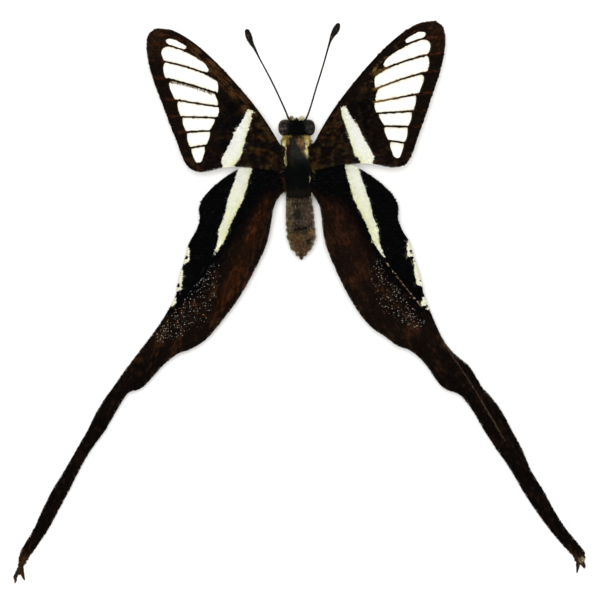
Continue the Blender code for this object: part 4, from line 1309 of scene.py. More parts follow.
def build_fringe(wing):
    """Longer scales that stand out past the margin, dark or white as the wing is there."""
    look = settings().wings
    rng = np.random.default_rng(wing.seed * 3)
    turn = 1 if area(wing.margin) > 0 else -1
    spots, lie = [], []
    for a, b in zip(wing.margin, wing.margin[1:] + wing.margin[:1]):
        along = b - a
        outwards = Vector((along.y, -along.x)).normalized() * turn
        count = max(1, round(along.length / FRINGE_PITCH))
        for k in range(count):
            spot = a + along * ((k + rng.uniform(0.2, 0.8)) / count)
            spots.append(tuple(spot - outwards * 0.05))
            lie.append(tuple((outwards + Vector((0.1, 0.2))).normalized()))
    spots, lie = np.array(spots), np.array(lie)
    fringed = (distance([wing.costa], spots) > 0.35) & (spots[:, 1] < TIP_FROM) & (spots[:, 0] > 2.2)
    spots, lie = spots[fringed], lie[fringed]
    long = mm(look.margin) * rng.uniform(1.05, 1.4, len(spots))
    tints, pale = wing_tint(wing, spots, False)
    shade = np.where(pale, 1.0, rng.uniform(0.6, 1.4, len(spots)))
    tints = np.clip(tints * shade[:, None], 0, 1)
    name = f"{wing.kind}wing_fringe_{wing.side}"
    wide = mm(look.scale_width) * 0.7
    lay_scales(name, wing, spots, lie, False, rng, long, wide, tints, lift=(-6, 6), rise=-0.05)


def build_stray_scales(wing):
    """Thin brown scales that reach over the edges of the panes, thickest along one on the left wing."""
    rng = np.random.default_rng(wing.seed * 7)
    spots, lie, long = [], [], []
    for number, pane in enumerate(wing.panes):
        turn = 1 if area(pane) > 0 else -1
        for a, b in zip(pane, pane[1:] + pane[:1]):
            along = b - a
            inwards = Vector((-along.y, along.x)).normalized() * turn
            fuzzy = wing.side == "left" and number == FUZZY_PANE and inwards.y > 0.7
            count = rng.poisson(along.length * (FUZZ if fuzzy else STRAYS))
            for _ in range(count):
                spots.append(a + along * rng.uniform(0, 1) - inwards * 0.06)
                lie.append((inwards + Vector(rng.normal(0, 0.35, 2))).normalized())
                long.append(rng.uniform(0.2, 0.5) if fuzzy else rng.uniform(0.1, 0.22))
    spots, lie, long = np.array(spots), np.array(lie), np.array(long)
    tints = np.tile(linear("#4a2f18"), (len(spots), 1)) * rng.uniform(0.3, 1.5, (len(spots), 1))
    gold = rng.random(len(spots)) < 0.06
    tints[gold] = linear("#a8843e")
    wide = rng.uniform(0.03, 0.06, len(spots))
    lay_scales(f"stray_scales_{wing.side}", wing, spots, lie, False, rng, long, wide, tints, lift=(0, 5))


def build_white_dots(wing):
    """Single white scales scattered over the inner part of the hindwing, beside the fold."""
    rng = np.random.default_rng(wing.seed * 5)
    path = np.array(DOT_PATHS[wing.side])
    kept = []
    for _ in range(DOT_TRIES[wing.side]):
        t = (len(path) - 1.001) * rng.beta(1.5, 1.2)
        i = int(t)
        x, y, width = path[i] + (path[i + 1] - path[i]) * (t - i)
        way = (path[i + 1] - path[i])[:2]
        way /= np.hypot(*way)
        off = (1 - 2 * rng.beta(1.6, 1.7)) * width
        spot = np.array([x + way[1] * off, y - way[0] * off])
        if all(np.hypot(*(spot - other)) > DOT_ROOM for other in kept):
            kept.append(spot)
    spots = np.array(kept)
    away, side, _ = measure([FOLD], spots)
    edge = distance([wing.margin], spots, closed=True)
    spots = spots[((away * side > 0.15) | (spots[:, 1] > 18.4)) & inside(wing.margin, spots) & (edge > 0.15)]
    _, _, lie = measure(wing.veins, spots)
    bright = 0.98 * rng.uniform(0.2, 1.0, len(spots)) ** 1.5
    gold = rng.random(len(spots)) < 0.05
    tints = bright[:, None] * np.where(gold[:, None], linear("#d0a040"), linear("#fbf3e2"))
    long, wide = rng.uniform(0.08, 0.12, len(spots)), rng.uniform(0.08, 0.115, len(spots))
    lay_scales(f"white_scales_{wing.side}", wing, spots, lie, False, rng, long, wide, tints, rise=0.07)


# Body


def profile(stations, aft):
    """Lateral, height and the two half sizes at one place down a body, which has round ends."""
    for low, high in zip(stations, stations[1:]):
        if aft <= high[0]:
            break
    share = min(max((aft - low[0]) / (high[0] - low[0]), 0.0), 1.0)
    first, last = low is stations[0], high is stations[-1]
    soft = share if first or last else share * share * (3 - 2 * share)
    lateral, up = (low[k] + (high[k] - low[k]) * soft for k in (1, 2))
    half = [math.sqrt(low[k] ** 2 + (high[k] ** 2 - low[k] ** 2) * soft) for k in (3, 4)]
    return lateral, up, half[0], half[1]


class Skin:
    """The skin under the body's coat: the three solids' shapes, sunk by the coat and joined by necks."""

    front = HEAD_STATIONS[0][0] + COAT_DEPTHS[0]
    rear = ABDOMEN_STATIONS[-1][0] - COAT_DEPTHS[2]

    def __init__(self):
        self.places = np.linspace(self.front, self.rear, 500)
        rows = []
        for aft in self.places:
            best = None
            for depth, stations in zip(COAT_DEPTHS, (HEAD_STATIONS, THORAX_STATIONS, ABDOMEN_STATIONS)):
                if stations[0][0] <= aft <= stations[-1][0]:
                    lateral, up, wide, high = profile(stations, aft)
                    if best is None or wide - depth > best[2]:
                        best = [lateral, up, wide - depth, high - depth]
            ends = min(aft - self.front, (self.rear - aft) / 8)
            least = NECK * min(1.0, math.sqrt(max(ends, 0.0) / 1.2))
            rows.append([best[0], best[1], max(best[2], least), max(best[3], least)])
        rows = np.array(rows)
        tight = np.array([0.25, 0.5, 0.25])
        for _ in range(4):
            for k in range(4):
                rows[1:-1, k] = np.convolve(rows[:, k], tight, mode="valid")
        rows[0, 2:] = rows[-1, 2:] = 0.0
        self.rows = rows

    def at(self, aft, angle):
        """Points at places down the body and angles round it, from its left over its top."""
        lateral, up, wide, high = (np.interp(aft, self.places, self.rows[:, k]) for k in range(4))
        pinch = sum(np.exp(-(((aft - joint) / JOINT_WIDTH) ** 2)) for joint in ABDOMEN_JOINTS)
        shrink = 1 - JOINT_PINCH * np.minimum(pinch, 1.0)
        c, s = np.cos(angle), np.sin(angle)
        square = (np.abs(c) ** BODY_SQUARENESS + np.abs(s) ** BODY_SQUARENESS) ** (-1 / BODY_SQUARENESS)
        return np.stack([lateral + c * square * wide * shrink, aft, up + s * square * high * shrink], -1)

    def ways(self, aft, angle):
        """The way back along the skin and the way out of it, as unit vectors."""
        step = 0.02
        back = self.at(aft + step, angle) - self.at(aft - step, angle)
        around = self.at(aft, angle + step) - self.at(aft, angle - step)
        out = np.cross(around, back)
        out *= np.sign((out * np.stack([np.cos(angle), 0 * angle, np.sin(angle)], -1)).sum(1))[:, None]
        return [v / np.maximum(np.linalg.norm(v, axis=1, keepdims=True), 1e-9) for v in (back, out)]

    def unwrap(self, aft, angle):
        along = (aft - self.front) / (self.rear - self.front)
        return np.stack([np.mod(angle / (2 * math.pi) + 0.25, 1.0), along], -1)

    def plant(self, name, shape, aft, angle, along, out, long, wide, tints, finish, curl, sunk=0.0):
        """Plants hairs or scales at places down the body and angles round it."""
        roots, places = self.at(aft, angle) - out * sunk, self.unwrap(aft, angle)
        plant(name, shape, roots, along, out, long, wide, np.clip(tints, 0, 1), places, finish, curl)


def thorax_tint(aft, degrees, fine, broad):
    """Cream side stripes, a brown patch on the right behind the collar, and a dark grey green middle."""
    look = settings().body
    tint = np.tile(look.black, (len(aft), 1))
    front = 1 - ease(aft + 0.5 * broad, -1.8, 0.4)
    tint = toward(tint, linear("#30322c"), front * 0.75 * ease(degrees, 60, 70))
    tint = toward(tint, linear("#2a1a1c"), front * 0.8 * between(degrees, 40, 48, 64, 72))
    begins = 84 + (aft + 3.8) * 12
    patch = ease(degrees + 8 * broad, begins - 4, begins + 8) * (1 - ease(degrees, 126, 138))
    patch *= 1 - ease(aft + 0.5 * broad, -1.3, -0.6)
    tint = toward(tint, look.brown, patch * (0.3 + 0.7 * ease(fine + 0.3 * broad, -0.5, 0.4)))
    collar = 1 - ease(aft + 0.2 * fine, -3.0, -2.5)
    golden = between(degrees, 108, 118, 150, 162) + between(degrees, 14, 24, 54, 66)
    tint = toward(tint, linear("#a88c44"), collar * golden * (0.25 + 0.75 * ease(fine, -0.5, 0.3)))
    for begins in (98, 110):
        line = 1 - ease(np.abs(degrees - begins - (aft + 3.4) * 16), 1.5, 4)
        tint = toward(tint, linear("#9a7058"), line * 0.7 * between(aft, -3.6, -3.3, -2.4, -1.8))
    middle, half = (np.interp(aft, (-3.0, -1.5, -0.6), shares) for shares in ((29, 24, 27), (17, 14, 9)))
    left = 1 - ease(np.abs(degrees + 5 * fine - middle), 0.6 * half, half)
    left *= between(aft, -3.5, -3.1, -0.8, -0.2)
    right = 1 - ease(np.abs(degrees + 4 * fine - np.interp(aft, (-3.0, -1.0), (136, 132))), 6, 11)
    right *= between(aft, -3.5, -3.0, -1.5, -0.8) * 0.95
    stripes = (left + right) * (0.35 + 0.65 * ease(fine + 0.5 * broad, -0.6, 0.1))
    tint = toward(tint, look.cream, np.clip(stripes, 0, 1))
    return toward(tint, linear("#1c1812"), ease(aft + 0.4 * broad, 2.6, 3.6) * 0.8)


# Blotches on the abdomen: lateral and aft, the size both ways, colour and strength
BLOTCHES = [
    (1.0, 6.1, 0.25, 0.5, "#6e6240", 0.6), (0.95, 7.5, 0.3, 0.6, "#6a5a34", 0.6),
    (0.1, 6.4, 0.5, 0.6, "#191d18", 0.8), (-0.1, 7.35, 0.6, 0.35, "#4c423c", 0.7),
    (-1.3, 6.6, 0.3, 1.4, "#5c483e", 0.6), (0.35, 8.42, 0.3, 0.15, "#0a0908", 1.0),
    (-0.2, 8.36, 0.4, 0.16, "#0a0908", 1.0), (-0.8, 8.28, 0.35, 0.15, "#0a0908", 1.0),
    (-1.75, 8.8, 0.3, 0.4, "#946c40", 0.8), (0.1, 9.2, 0.5, 0.3, "#5e4222", 0.7),
    (-1.5, 9.85, 0.35, 0.33, "#120f0d", 0.9), (1.25, 9.85, 0.12, 0.4, "#100e0c", 0.85),
    (0.3, 10.2, 0.4, 0.35, "#5a3020", 0.6), (-0.9, 11.1, 0.22, 0.28, "#94703e", 0.8),
    (0.3, 11.0, 0.22, 0.25, "#6e4c2c", 0.7), (-0.38, 11.9, 0.4, 0.4, "#161712", 0.9),
]


def abdomen_tint(aft, degrees, fine, broad):
    """Olive on the left, purplish brown on the right, blotched, and rust towards the dark tip."""
    look = settings().body
    tint = np.tile(look.grey, (len(aft), 1))
    olive = (1 - ease(degrees + 14 * broad, 48, 78)) * (0.5 + 0.5 * ease(fine, -0.5, 0.5))
    plum = ease(degrees + 14 * broad, 100, 126) * (0.5 + 0.5 * ease(fine, -0.5, 0.5))
    tint = toward(tint, linear("#5c5038"), olive)
    tint = toward(tint, linear("#4e4139"), plum)
    tint = toward(tint, linear("#15100d"), ease(fine + broad, 0.1, 1.1) * 0.7)
    joints = sum(np.exp(-(((aft - joint) / 0.12) ** 2)) for joint in ABDOMEN_JOINTS)
    tint = toward(tint, linear("#1a1511"), np.clip(joints, 0, 1) * 0.5)
    tint = toward(tint, look.rust, ease(aft + 0.5 * broad, 8.6, 9.3) * (0.1 + 0.6 * ease(fine, -0.2, 0.6)))
    edges = (1 - ease(degrees, 14, 24)) + ease(degrees, 156, 166)
    beads = edges * (1 - np.clip(joints, 0, 1)) * ease(fine, 0.0, 0.6)
    tint = toward(tint, linear("#c8b084"), beads * 0.6)
    lateral = 1.85 * np.cos(np.radians(degrees)) - np.interp(aft, (4.5, 8.0), (0.1, 0.34))
    for across, along, wide, long, code, share in BLOTCHES:
        near = ((lateral + 0.1 * fine - across) / wide) ** 2 + ((aft + 0.12 * fine - along) / long) ** 2
        tint = toward(tint, linear(code), share * (1 - ease(near, 0.5, 1.6)))
    return tint


def body_tint(aft, angle, seed):
    """Colours of the coat: black head, striped thorax, grey and brown abdomen, pale underside."""
    look = settings().body
    degrees = np.degrees(np.arctan2(np.sin(angle), np.cos(angle)))
    degrees = np.where(degrees < -90, degrees + 360, degrees)
    flat = np.stack([angle * 1.8, aft], 1)
    fine, broad = mottle(flat, 0.22, 0.5, seed), mottle(flat, 0.9, 0.9, seed + 4)
    thorax, abdomen = ease(aft, -3.9, -3.6), ease(aft + 0.2 * fine, 4.1, 4.7)
    tint = np.tile(look.black, (len(aft), 1))
    tint = tint + (thorax_tint(aft, degrees, fine, broad) - tint) * thorax[:, None]
    tint = tint + (abdomen_tint(aft, degrees, fine, broad) - tint) * abdomen[:, None]
    below = 1 - ease(np.sin(angle), -0.35, 0.1)
    below *= 0.75 + 0.25 * ease(fine, -0.5, 0.5)
    return toward(tint, look.pale, below * np.where(aft < -3.7, 0.35, 0.9))


def build_skin(skin):
    bm = bmesh.new()
    bmesh.ops.create_uvsphere(bm, u_segments=BODY_SEGMENTS, v_segments=BODY_RINGS, radius=1)
    ball = np.array([v.co for v in bm.verts])
    aft = skin.front + np.arccos(np.clip(ball[:, 2], -1, 1)) / math.pi * (skin.rear - skin.front)
    for v, (x, y, z) in zip(bm.verts, skin.at(aft, np.arctan2(ball[:, 1], ball[:, 0]))):
        v.co = row(x, y, z)
    made = finished("body_skin", bm, "body_cuticle", ["head", "thorax", "abdomen"])
    corners = corner_points(made.data)
    middle, up = (np.interp(corners[:, 1], skin.places, skin.rows[:, k]) for k in (0, 1))
    angle = np.arctan2(corners[:, 2] - up, corners[:, 0] - middle)
    paint(made.data, body_tint(corners[:, 1], angle, 5) * 0.4)


def comb(back, out, rng, lift, swirl):
    """Hair directions: back along the skin, turned at random and lifted by degrees."""
    count = len(back)
    across = np.cross(out, back)
    yaw = rng.normal(0, math.radians(swirl), count)[:, None]
    rise = np.radians(rng.uniform(*lift, count))[:, None]
    flat = back * np.cos(yaw) + across * np.sin(yaw)
    return unit(flat * np.cos(rise) + out * np.sin(rise))


LEAST_BACK = 0.75  # how far back every hair points, as a share of its length


def build_body_hair(skin, name, count, span, long, seed, lift, swirl, curl):
    look = settings().body
    rng = np.random.default_rng(seed)
    aft, angle = rng.uniform(*span, count), rng.uniform(-math.pi, math.pi, count)
    back, out = skin.ways(aft, angle)
    along = comb(back, out, rng, lift, swirl)
    along[:, 1] = np.maximum(along[:, 1], LEAST_BACK)
    along = unit(along)
    size = long * rng.uniform(0.6, 1.15, count) * np.clip((span[1] + 0.4 - aft) / 0.95, 0.35, 1)
    tints = body_tint(aft + 0.4 * size, angle, 5) * rng.uniform(0.6, 1.5, count)[:, None]
    wide = mm(look.hair_width) * rng.uniform(0.7, 1.2, count)
    skin.plant(name, HAIR_SHAPE, aft, angle, along, out, size, wide, tints, "body_hair", curl, sunk=0.02)


def build_abdomen_coat(skin):
    """Flat scales all round the abdomen, shorter towards its tip."""
    rng = np.random.default_rng(61)
    count = settings().body.abdomen_scales
    aft, angle = rng.uniform(4.0, skin.rear - 0.1, count), rng.uniform(-math.pi, math.pi, count)
    back, out = skin.ways(aft, angle)
    along = comb(back, out, rng, (12, 34), 12)
    tints = body_tint(aft + 0.28, angle, 5) * np.clip(rng.normal(1, 0.34, count), 0.35, 2.2)[:, None]
    short = np.clip((skin.rear + 0.5 - aft) / 1.2, 0.45, 1)
    long, wide = rng.uniform(0.32, 0.52, count) * short, rng.uniform(0.1, 0.15, count) * short
    skin.plant("abdomen_scales", SCALE_SHAPE, aft, angle, along, out, long, wide, tints, "body_scales", 0.1)


def build_abdomen_tufts(skin):
    """Cream scale tufts that stand out along both sides of the abdomen, most at each segment's end."""
    rng = np.random.default_rng(67)
    count = 1500
    joint = rng.choice(ABDOMEN_JOINTS + [11.2], count)
    aft = joint + rng.normal(-0.15, 0.22, count)
    side = rng.choice([1, -1], count)
    angle = np.where(side > 0, 0.0, math.pi) + side * rng.normal(0.2, 0.3, count)
    back, out = skin.ways(aft, angle)
    along = comb(back, out, rng, (18, 46), 18)
    tints = toward(body_tint(aft, angle, 5), linear("#b8a880"), rng.uniform(0.0, 0.85, count) ** 1.5)
    long, wide = rng.uniform(0.4, 0.68, count), rng.uniform(0.05, 0.1, count)
    skin.plant("abdomen_tufts", HAIR_SHAPE, aft, angle, along, out, long, wide, tints, "body_scales", 0.15)


# Tufts by their place on the skin: aft and degrees round it from the left over the top, the spread of
# both, the way they point, fan, length, hairs and colour
TUFTS = [
    ((-5.72, 118), (0.08, 9), (-0.15, -1.0, 0.35), 0.25, 0.55, 120, "#e6deb0"),
    ((-5.72, 62), (0.06, 8), (0.2, -1.0, 0.3), 0.25, 0.4, 70, "#c9bf94"),
    ((-5.6, 90), (0.12, 26), (0.0, -0.8, 0.7), 0.35, 0.45, 420, "#0b0c0a"),
    ((-4.7, 90), (0.5, 30), (0.0, 0.5, 0.8), 0.45, 0.45, 700, "#090c0b"),
    ((-4.8, 64), (0.5, 9), (0.88, 0.05, 0.36), 0.14, 0.95, 620, "#07090a"),
    ((-4.8, 114), (0.5, 9), (-0.88, 0.05, 0.36), 0.14, 0.98, 620, "#07090a"),
    ((0.3, 9), (0.2, 6), (0.85, 0.5, 0.1), 0.12, 0.9, 32, "#7c705c"),
    ((1.9, 10), (0.4, 6), (0.75, 0.65, 0.05), 0.35, 0.95, 20, "#4e2e1a"),
    ((2.9, 8), (0.3, 6), (0.5, 0.85, 0.05), 0.14, 0.8, 40, "#3c3020"),
    ((1.4, 148), (0.25, 2), (-0.08, 1.0, 0.12), 0.04, 0.8, 40, "#d8cfa0"),
    ((-3.45, 22), (0.1, 12), (0.6, 0.6, 0.2), 0.2, 0.45, 110, "#8a6c30"),
    ((-3.45, 154), (0.1, 10), (-0.5, 0.7, 0.2), 0.2, 0.45, 90, "#b09a50"),
    ((0.2, 170), (0.3, 6), (-0.8, 0.55, 0.1), 0.14, 0.9, 40, "#5d5237"),
    ((3.5, 8), (0.15, 4), (0.35, 1.0, 0.0), 0.15, 0.6, 24, "#b9ad86"),
    ((3.6, 172), (0.2, 4), (-0.4, 1.0, 0.0), 0.15, 0.8, 46, "#c9bf98"),
    ((-2.7, 39), (0.3, 4), (0.35, 0.9, 0.12), 0.14, 0.5, 150, "#d8cb8c"),
    ((-2.0, 40), (0.3, 4), (0.3, 0.9, 0.12), 0.14, 0.5, 150, "#e6dca4"),
    ((-1.2, 40), (0.3, 4), (0.25, 0.95, 0.12), 0.14, 0.5, 130, "#ddd29a"),
    ((-0.6, 40), (0.2, 3), (0.2, 0.95, 0.12), 0.14, 0.45, 60, "#cfc48e"),
    ((-3.45, 38), (0.08, 13), (0.12, -0.95, 0.15), 0.2, 0.5, 170, "#a08a48"),
    ((-3.45, 142), (0.08, 13), (-0.12, -0.95, 0.15), 0.2, 0.5, 170, "#b09a54"),
    ((-3.5, 92), (0.08, 24), (0.0, -0.95, 0.2), 0.2, 0.45, 170, "#2c251c"),
    ((4.15, 90), (0.1, 38), (0.0, 1.0, 0.12), 0.12, 0.5, 240, "#15120f"),
    ((4.25, 90), (0.1, 38), (0.0, 1.0, 0.12), 0.15, 0.45, 160, "#43352a"),
]


def build_tufts(skin):
    look = settings().body
    rng = np.random.default_rng(71)
    sets = []
    for spot, wide_by, way, fan, long, count, code in TUFTS:
        aft, angle = rng.normal(spot, wide_by, (count, 2)).T
        angle = np.radians(angle)
        aim = unit(np.array(way) + rng.normal(0, fan, (count, 3)))
        tints = np.tile(linear(code), (count, 1)) * rng.uniform(0.6, 1.25, (count, 1))
        sets.append((aft, angle, aim, long * rng.uniform(0.6, 1.1, count), tints))
    aft, angle, along, long, tints = (np.concatenate([made[k] for made in sets]) for k in range(5))
    aft = np.clip(aft, skin.front + 0.05, skin.rear)
    _, out = skin.ways(aft, angle)
    wide = mm(look.hair_width) * rng.uniform(0.7, 1.1, len(aft))
    skin.plant("loose_tufts", HAIR_SHAPE, aft, angle, along, out, long, wide, tints, "body_hair", 0.2)


def eye_tint(side, places):
    """Brown mottling of a dried eye by the places on its ball: darkest inwards, lighter on the left."""
    flat, seed = places[:, :2], SIDES[side]["seed"]
    spots, others = mottle(flat, 0.3, 0.3, seed), mottle(flat, 0.22, 0.22, seed + 5)
    tint = toward(np.tile(linear("#0b0908"), (len(flat), 1)), linear("#1a2622"), ease(others, 0.0, 0.6) * 0.8)
    outer = ease(flat[:, 0], -0.35, 0.35) * (1.0 if side == "left" else 0.5)
    return toward(tint, linear("#4e3e38"), outer * ease(spots + 0.3 * others, -0.5, 0.9) * 0.8)


def build_eyes():
    for side, pose in SIDES.items():
        bm = bmesh.new()
        bmesh.ops.create_icosphere(bm, subdivisions=5, radius=1)
        tints = eye_tint(side, np.array([v.co for v in bm.verts]))
        for v in bm.verts:
            full = sum(abs(k) ** EYE_SQUARENESS for k in v.co) ** (-1 / EYE_SQUARENESS)
            x, y, z = (c + r * k * full for c, r, k in zip(EYE_CENTRE, EYE_RADII, v.co))
            v.co = row(HEAD_MIDDLE + pose["sign"] * x, y, z)
        paint(finished("compound_eye_" + side, bm, "faceted_eye", ["eye_" + side]).data, tints)


def build_antennae():
    """Ringed shafts that swell into clubs."""
    for side, pose in SIDES.items():
        path = spline([Vector((pose["sign"] * x, y, z, r)) for x, y, z, r in ANTENNAE[side]], 0.07)
        radii, run = [], 0.0
        for before, here in zip(path[:1] + path, path):
            run += (here - before).length
            thick = SHAFT_RADIUS + max(here[3] - SHAFT_SOLID, -0.02) * CLUB_SWELL
            ring = 0.5 - 0.5 * math.cos(2 * math.pi * run / ANTENNA_JOINT)
            radii.append(thick * (0.88 + 0.16 * ring**0.5))
        left = np.cumsum([(here - before).length for before, here in zip(path[-1:0:-1], path[-2::-1])])
        blunt = int((left < CLUB_END).sum()) + 1
        for k in range(blunt):
            back = (left[k - 1] if k else 0.0) / CLUB_END
            radii[-1 - k] = radii[-1 - blunt] * math.sqrt(1 - (1 - max(back, 0.03)) ** 2)
        bm = bmesh.new()
        sweep(bm, path, radii, 12)
        finished("ringed_antenna_" + side, bm, "feeler_cuticle", ["antenna_" + side], crease=60)


def around(path, count, rng):
    """Random places round a path: how far along it, the place on it, and the ways along and out."""
    points = np.array([tuple(p) for p in path])
    share = rng.uniform(0, len(points) - 1.01, count)
    i = share.astype(int)
    step = points[i + 1] - points[i]
    way = unit(step[:, :3])
    out = rng.normal(0, 1, (count, 3))
    out = unit(out - way * (out * way).sum(1, keepdims=True))
    return share, points[i] + step * (share % 1)[:, None], way, out


def build_palps():
    """Short, upturned mouth feelers under a brush of hair."""
    rng = np.random.default_rng(83)
    for side, pose in SIDES.items():
        path = spline([Vector((HEAD_MIDDLE + pose["sign"] * x, y, z, r)) for x, y, z, r in PALP], 0.12)
        bm = bmesh.new()
        sweep(bm, path, [p[3] for p in path], 14)
        made = finished("palp_core_" + side, bm, "body_cuticle", ["palp_" + side])
        pale = linear("#e6deba" if side == "right" else "#86794e")
        high = ease(corner_points(made.data)[:, 2], 4.2, 4.8)
        paint(made.data, toward(np.tile(linear("#1c1713"), (len(high), 1)), pale, high))
        count = 420
        share, here, way, out = around(path, count, rng)
        roots = here[:, :3] + out * here[:, 3:] * 0.9
        along = comb(way, out, rng, (10, 30), 14)
        tints = toward(np.tile(linear("#1c1713"), (count, 1)), pale, ease(share / len(path), 0.35, 0.6))
        tints = tints * rng.uniform(0.6, 1.2, count)[:, None]
        long, wide = rng.uniform(0.16, 0.32, count), rng.uniform(0.04, 0.07, count)
        places = np.stack([np.arctan2(out[:, 2], out[:, 0]) / 6.3 + 0.5, share / len(path)], -1)
        tints = np.clip(tints, 0, 1)
        plant("palp_hair_" + side, HAIR_SHAPE, roots, along, out, long, wide, tints, places, "body_hair", 0.1)


def build_tongue():
    """The tongue, rolled up under the head, ringed like a hose."""
    aft, up = TONGUE_CENTRE
    path, radii = [(HEAD_MIDDLE, aft + 0.6, up + TONGUE_OUTER + 0.8)], [TONGUE_RADIUS]
    for i in range(TONGUE_STEPS + 1):
        share = i / TONGUE_STEPS
        angle = math.radians(TONGUE_START) - 2 * math.pi * TONGUE_TURNS * share
        radius = TONGUE_OUTER + (TONGUE_INNER - TONGUE_OUTER) * share
        path.append((HEAD_MIDDLE, aft - radius * math.cos(angle), up + radius * math.sin(angle)))
        radii.append(TONGUE_RADIUS * (1 - 0.45 * share) * (1 + 0.06 * math.cos(math.pi * i)))
    bm = bmesh.new()
    sweep(bm, path, radii, 12)
    finished("coiled_tongue", bm, "dark_cuticle", ["proboscis"], crease=60)


def swollen(path, thick, waist, belly):
    """Radii along a limb segment: slim at its joints, thickest at a share of its length."""
    shares = np.linspace(0, 1, len(path))
    hump = np.sin(np.pi * np.clip(shares ** (math.log(0.5) / math.log(belly)), 0, 1))
    return thick * (waist + (1 - waist) * hump)


def limb_parts(points):
    """The segments of one leg as (path, radii): coxa, thigh, shin, two spurs, five foot joints, claws."""
    coxa, trochanter, thigh, knee, shin, ankle, sole, toe = points
    parts = []
    for stops, thick, waist, belly in (
        ([coxa, trochanter], 0.36, 0.6, 0.4), ([trochanter, thigh, knee], 0.27, 0.5, 0.4),
        ([knee, shin, ankle], 0.17, 0.6, 0.55),
    ):
        path = spline(stops, 0.15)
        parts.append((path, swollen(path, thick, waist, belly)))
    foot = spline([ankle, sole, toe], 0.06)
    for spot in foot:
        spot.z = max(spot.z, sole.z)
    stops = [round(k * (len(foot) - 1) / 5) for k in range(6)]
    for a, b in zip(stops, stops[1:]):
        path = foot[a : b + 1]
        parts.append((path, np.linspace(0.075, 0.105, len(path))))
    back = (ankle - shin).normalized()
    side = back.cross(Vector((0, 0, 1))).normalized()
    for turn in (1, -1):
        spur = [ankle, ankle + back * 0.25 + side * 0.1 * turn, ankle + back * 0.5 + side * 0.13 * turn]
        parts.append((spline(spur, 0.08), None))
    ahead = (toe - sole).normalized()
    side = ahead.cross(Vector((0, 0, 1))).normalized()
    for turn in (1, -1):
        claw = [toe, toe + ahead * 0.16 + side * 0.08 * turn + Vector((0, 0, 0.02)),
                toe + ahead * 0.26 + side * 0.11 * turn - Vector((0, 0, 0.09))]
        parts.append((spline(claw, 0.04), None))
    return parts


def build_legs():
    rng = np.random.default_rng(91)
    hairs = []
    for side, pose in SIDES.items():
        for place_name, stations in LEGS.items():
            points = [Vector((pose["sign"] * x, y, z)) for x, y, z in stations]
            bm = bmesh.new()
            for path, radii in limb_parts(points):
                if radii is None:
                    radii = np.linspace(0.045, 0.006, len(path))
                else:
                    hairs.append((path, radii))
                sweep(bm, path, radii, 12)
            node = f"leg_{place_name}_{side}"
            finished(f"walking_{node}", bm, "dark_cuticle", [node])
    build_leg_hair(hairs, rng)


LEG_HAIRS = 900  # hairs on a millimetre of leg of one millimetre radius


def build_leg_hair(limbs, rng):
    """Fine pale scales and bristles along the legs, fewest on the feet."""
    sets = []
    for path, radii in limbs:
        steps = np.diff(np.array([tuple(p) for p in path]), axis=0)
        count = int(np.linalg.norm(steps, axis=1).sum() * LEG_HAIRS * radii.mean())
        share, here, way, out = around(path, count, rng)
        thick = radii[share.astype(int)][:, None]
        sets.append((here + out * thick * 0.9, comb(way, out, rng, (8, 26), 14), out))
    roots, along, out = (np.concatenate([made[k] for made in sets]) for k in range(3))
    high = roots[:, 2] + along[:, 2] * 0.3 > 0.03
    roots, along, out = roots[high], along[high], out[high]
    tints = np.tile(linear("#8d8066"), (len(roots), 1)) * rng.uniform(0.15, 1.2, len(roots))[:, None]
    long, wide = rng.uniform(0.14, 0.3, len(roots)), rng.uniform(0.03, 0.055, len(roots))
    low = roots.min(0)
    places = (roots[:, :2] - low[:2]) / (roots.max(0) - low)[:2]
    plant("leg_hair", HAIR_SHAPE, roots, along, out, long, wide, tints, places, "body_hair", 0.1)


# Stage


def build_stage():
    look = settings().stage
    scene = bpy.context.scene
    bm = bmesh.new()
    bmesh.ops.create_circle(bm, cap_ends=True, radius=FLOOR_RADIUS, segments=64)
    mesh = bpy.data.meshes.new("floor")
    bm.to_mesh(mesh)
    bm.free()
    floor = bpy.data.objects.new("floor", mesh)
    scene.collection.objects.link(floor)
    mesh.materials.append(FINISHES["pale_board"]())
    world = bpy.data.worlds.new("soft_sky")
    world.use_nodes = True
    sky = world.node_tree.nodes["Background"]
    sky.inputs["Color"].default_value = (1.0, 1.0, 1.0, 1.0)
    sky.inputs["Strength"].default_value = look.sky
    scene.world = world
    key = bpy.data.lights.new("key", "AREA")
    key.shape = "DISK"
    key.size = look.key_size
    key.energy = look.key
    lamp = bpy.data.objects.new("key", key)
    lamp.location = LAMP_PLACE
    lamp.rotation_euler = (-lamp.location).to_track_quat("-Z", "Y").to_euler()
    scene.collection.objects.link(lamp)
    camera = bpy.data.cameras.new("camera")
    camera.sensor_fit = "HORIZONTAL"
    camera.sensor_width = SENSOR
    camera.lens = SENSOR * (CAMERA_HEIGHT - VIEW_LEVEL) / VIEW_WIDTH
    camera.clip_end = 10.0
    eye = bpy.data.objects.new("camera", camera)
    eye.location = (VIEW_MIDDLE[0] * MM, VIEW_MIDDLE[1] * MM, CAMERA_HEIGHT * MM)
    eye.rotation_euler = (0.0, 0.0, math.pi)
    scene.collection.objects.link(eye)
    scene.camera = eye
    scene.view_settings.view_transform = "Standard"


# Operators


def every_wing(kind=None):
    for side in SIDES:
        for each in ("fore", "hind"):
            if kind in (None, each):
                yield Wing(each, side)


class DRAGONTAIL_OT_membranes(bpy.types.Operator):
    """Build the four wing membranes with their clear panes and veins"""

    bl_idname = "dragontail.membranes"
    bl_label = "Membranes and veins"

    def execute(self, context):
        for wing in every_wing():
            build_membrane(wing)
            build_panes(wing)
            build_veins(wing)
        return {"FINISHED"}


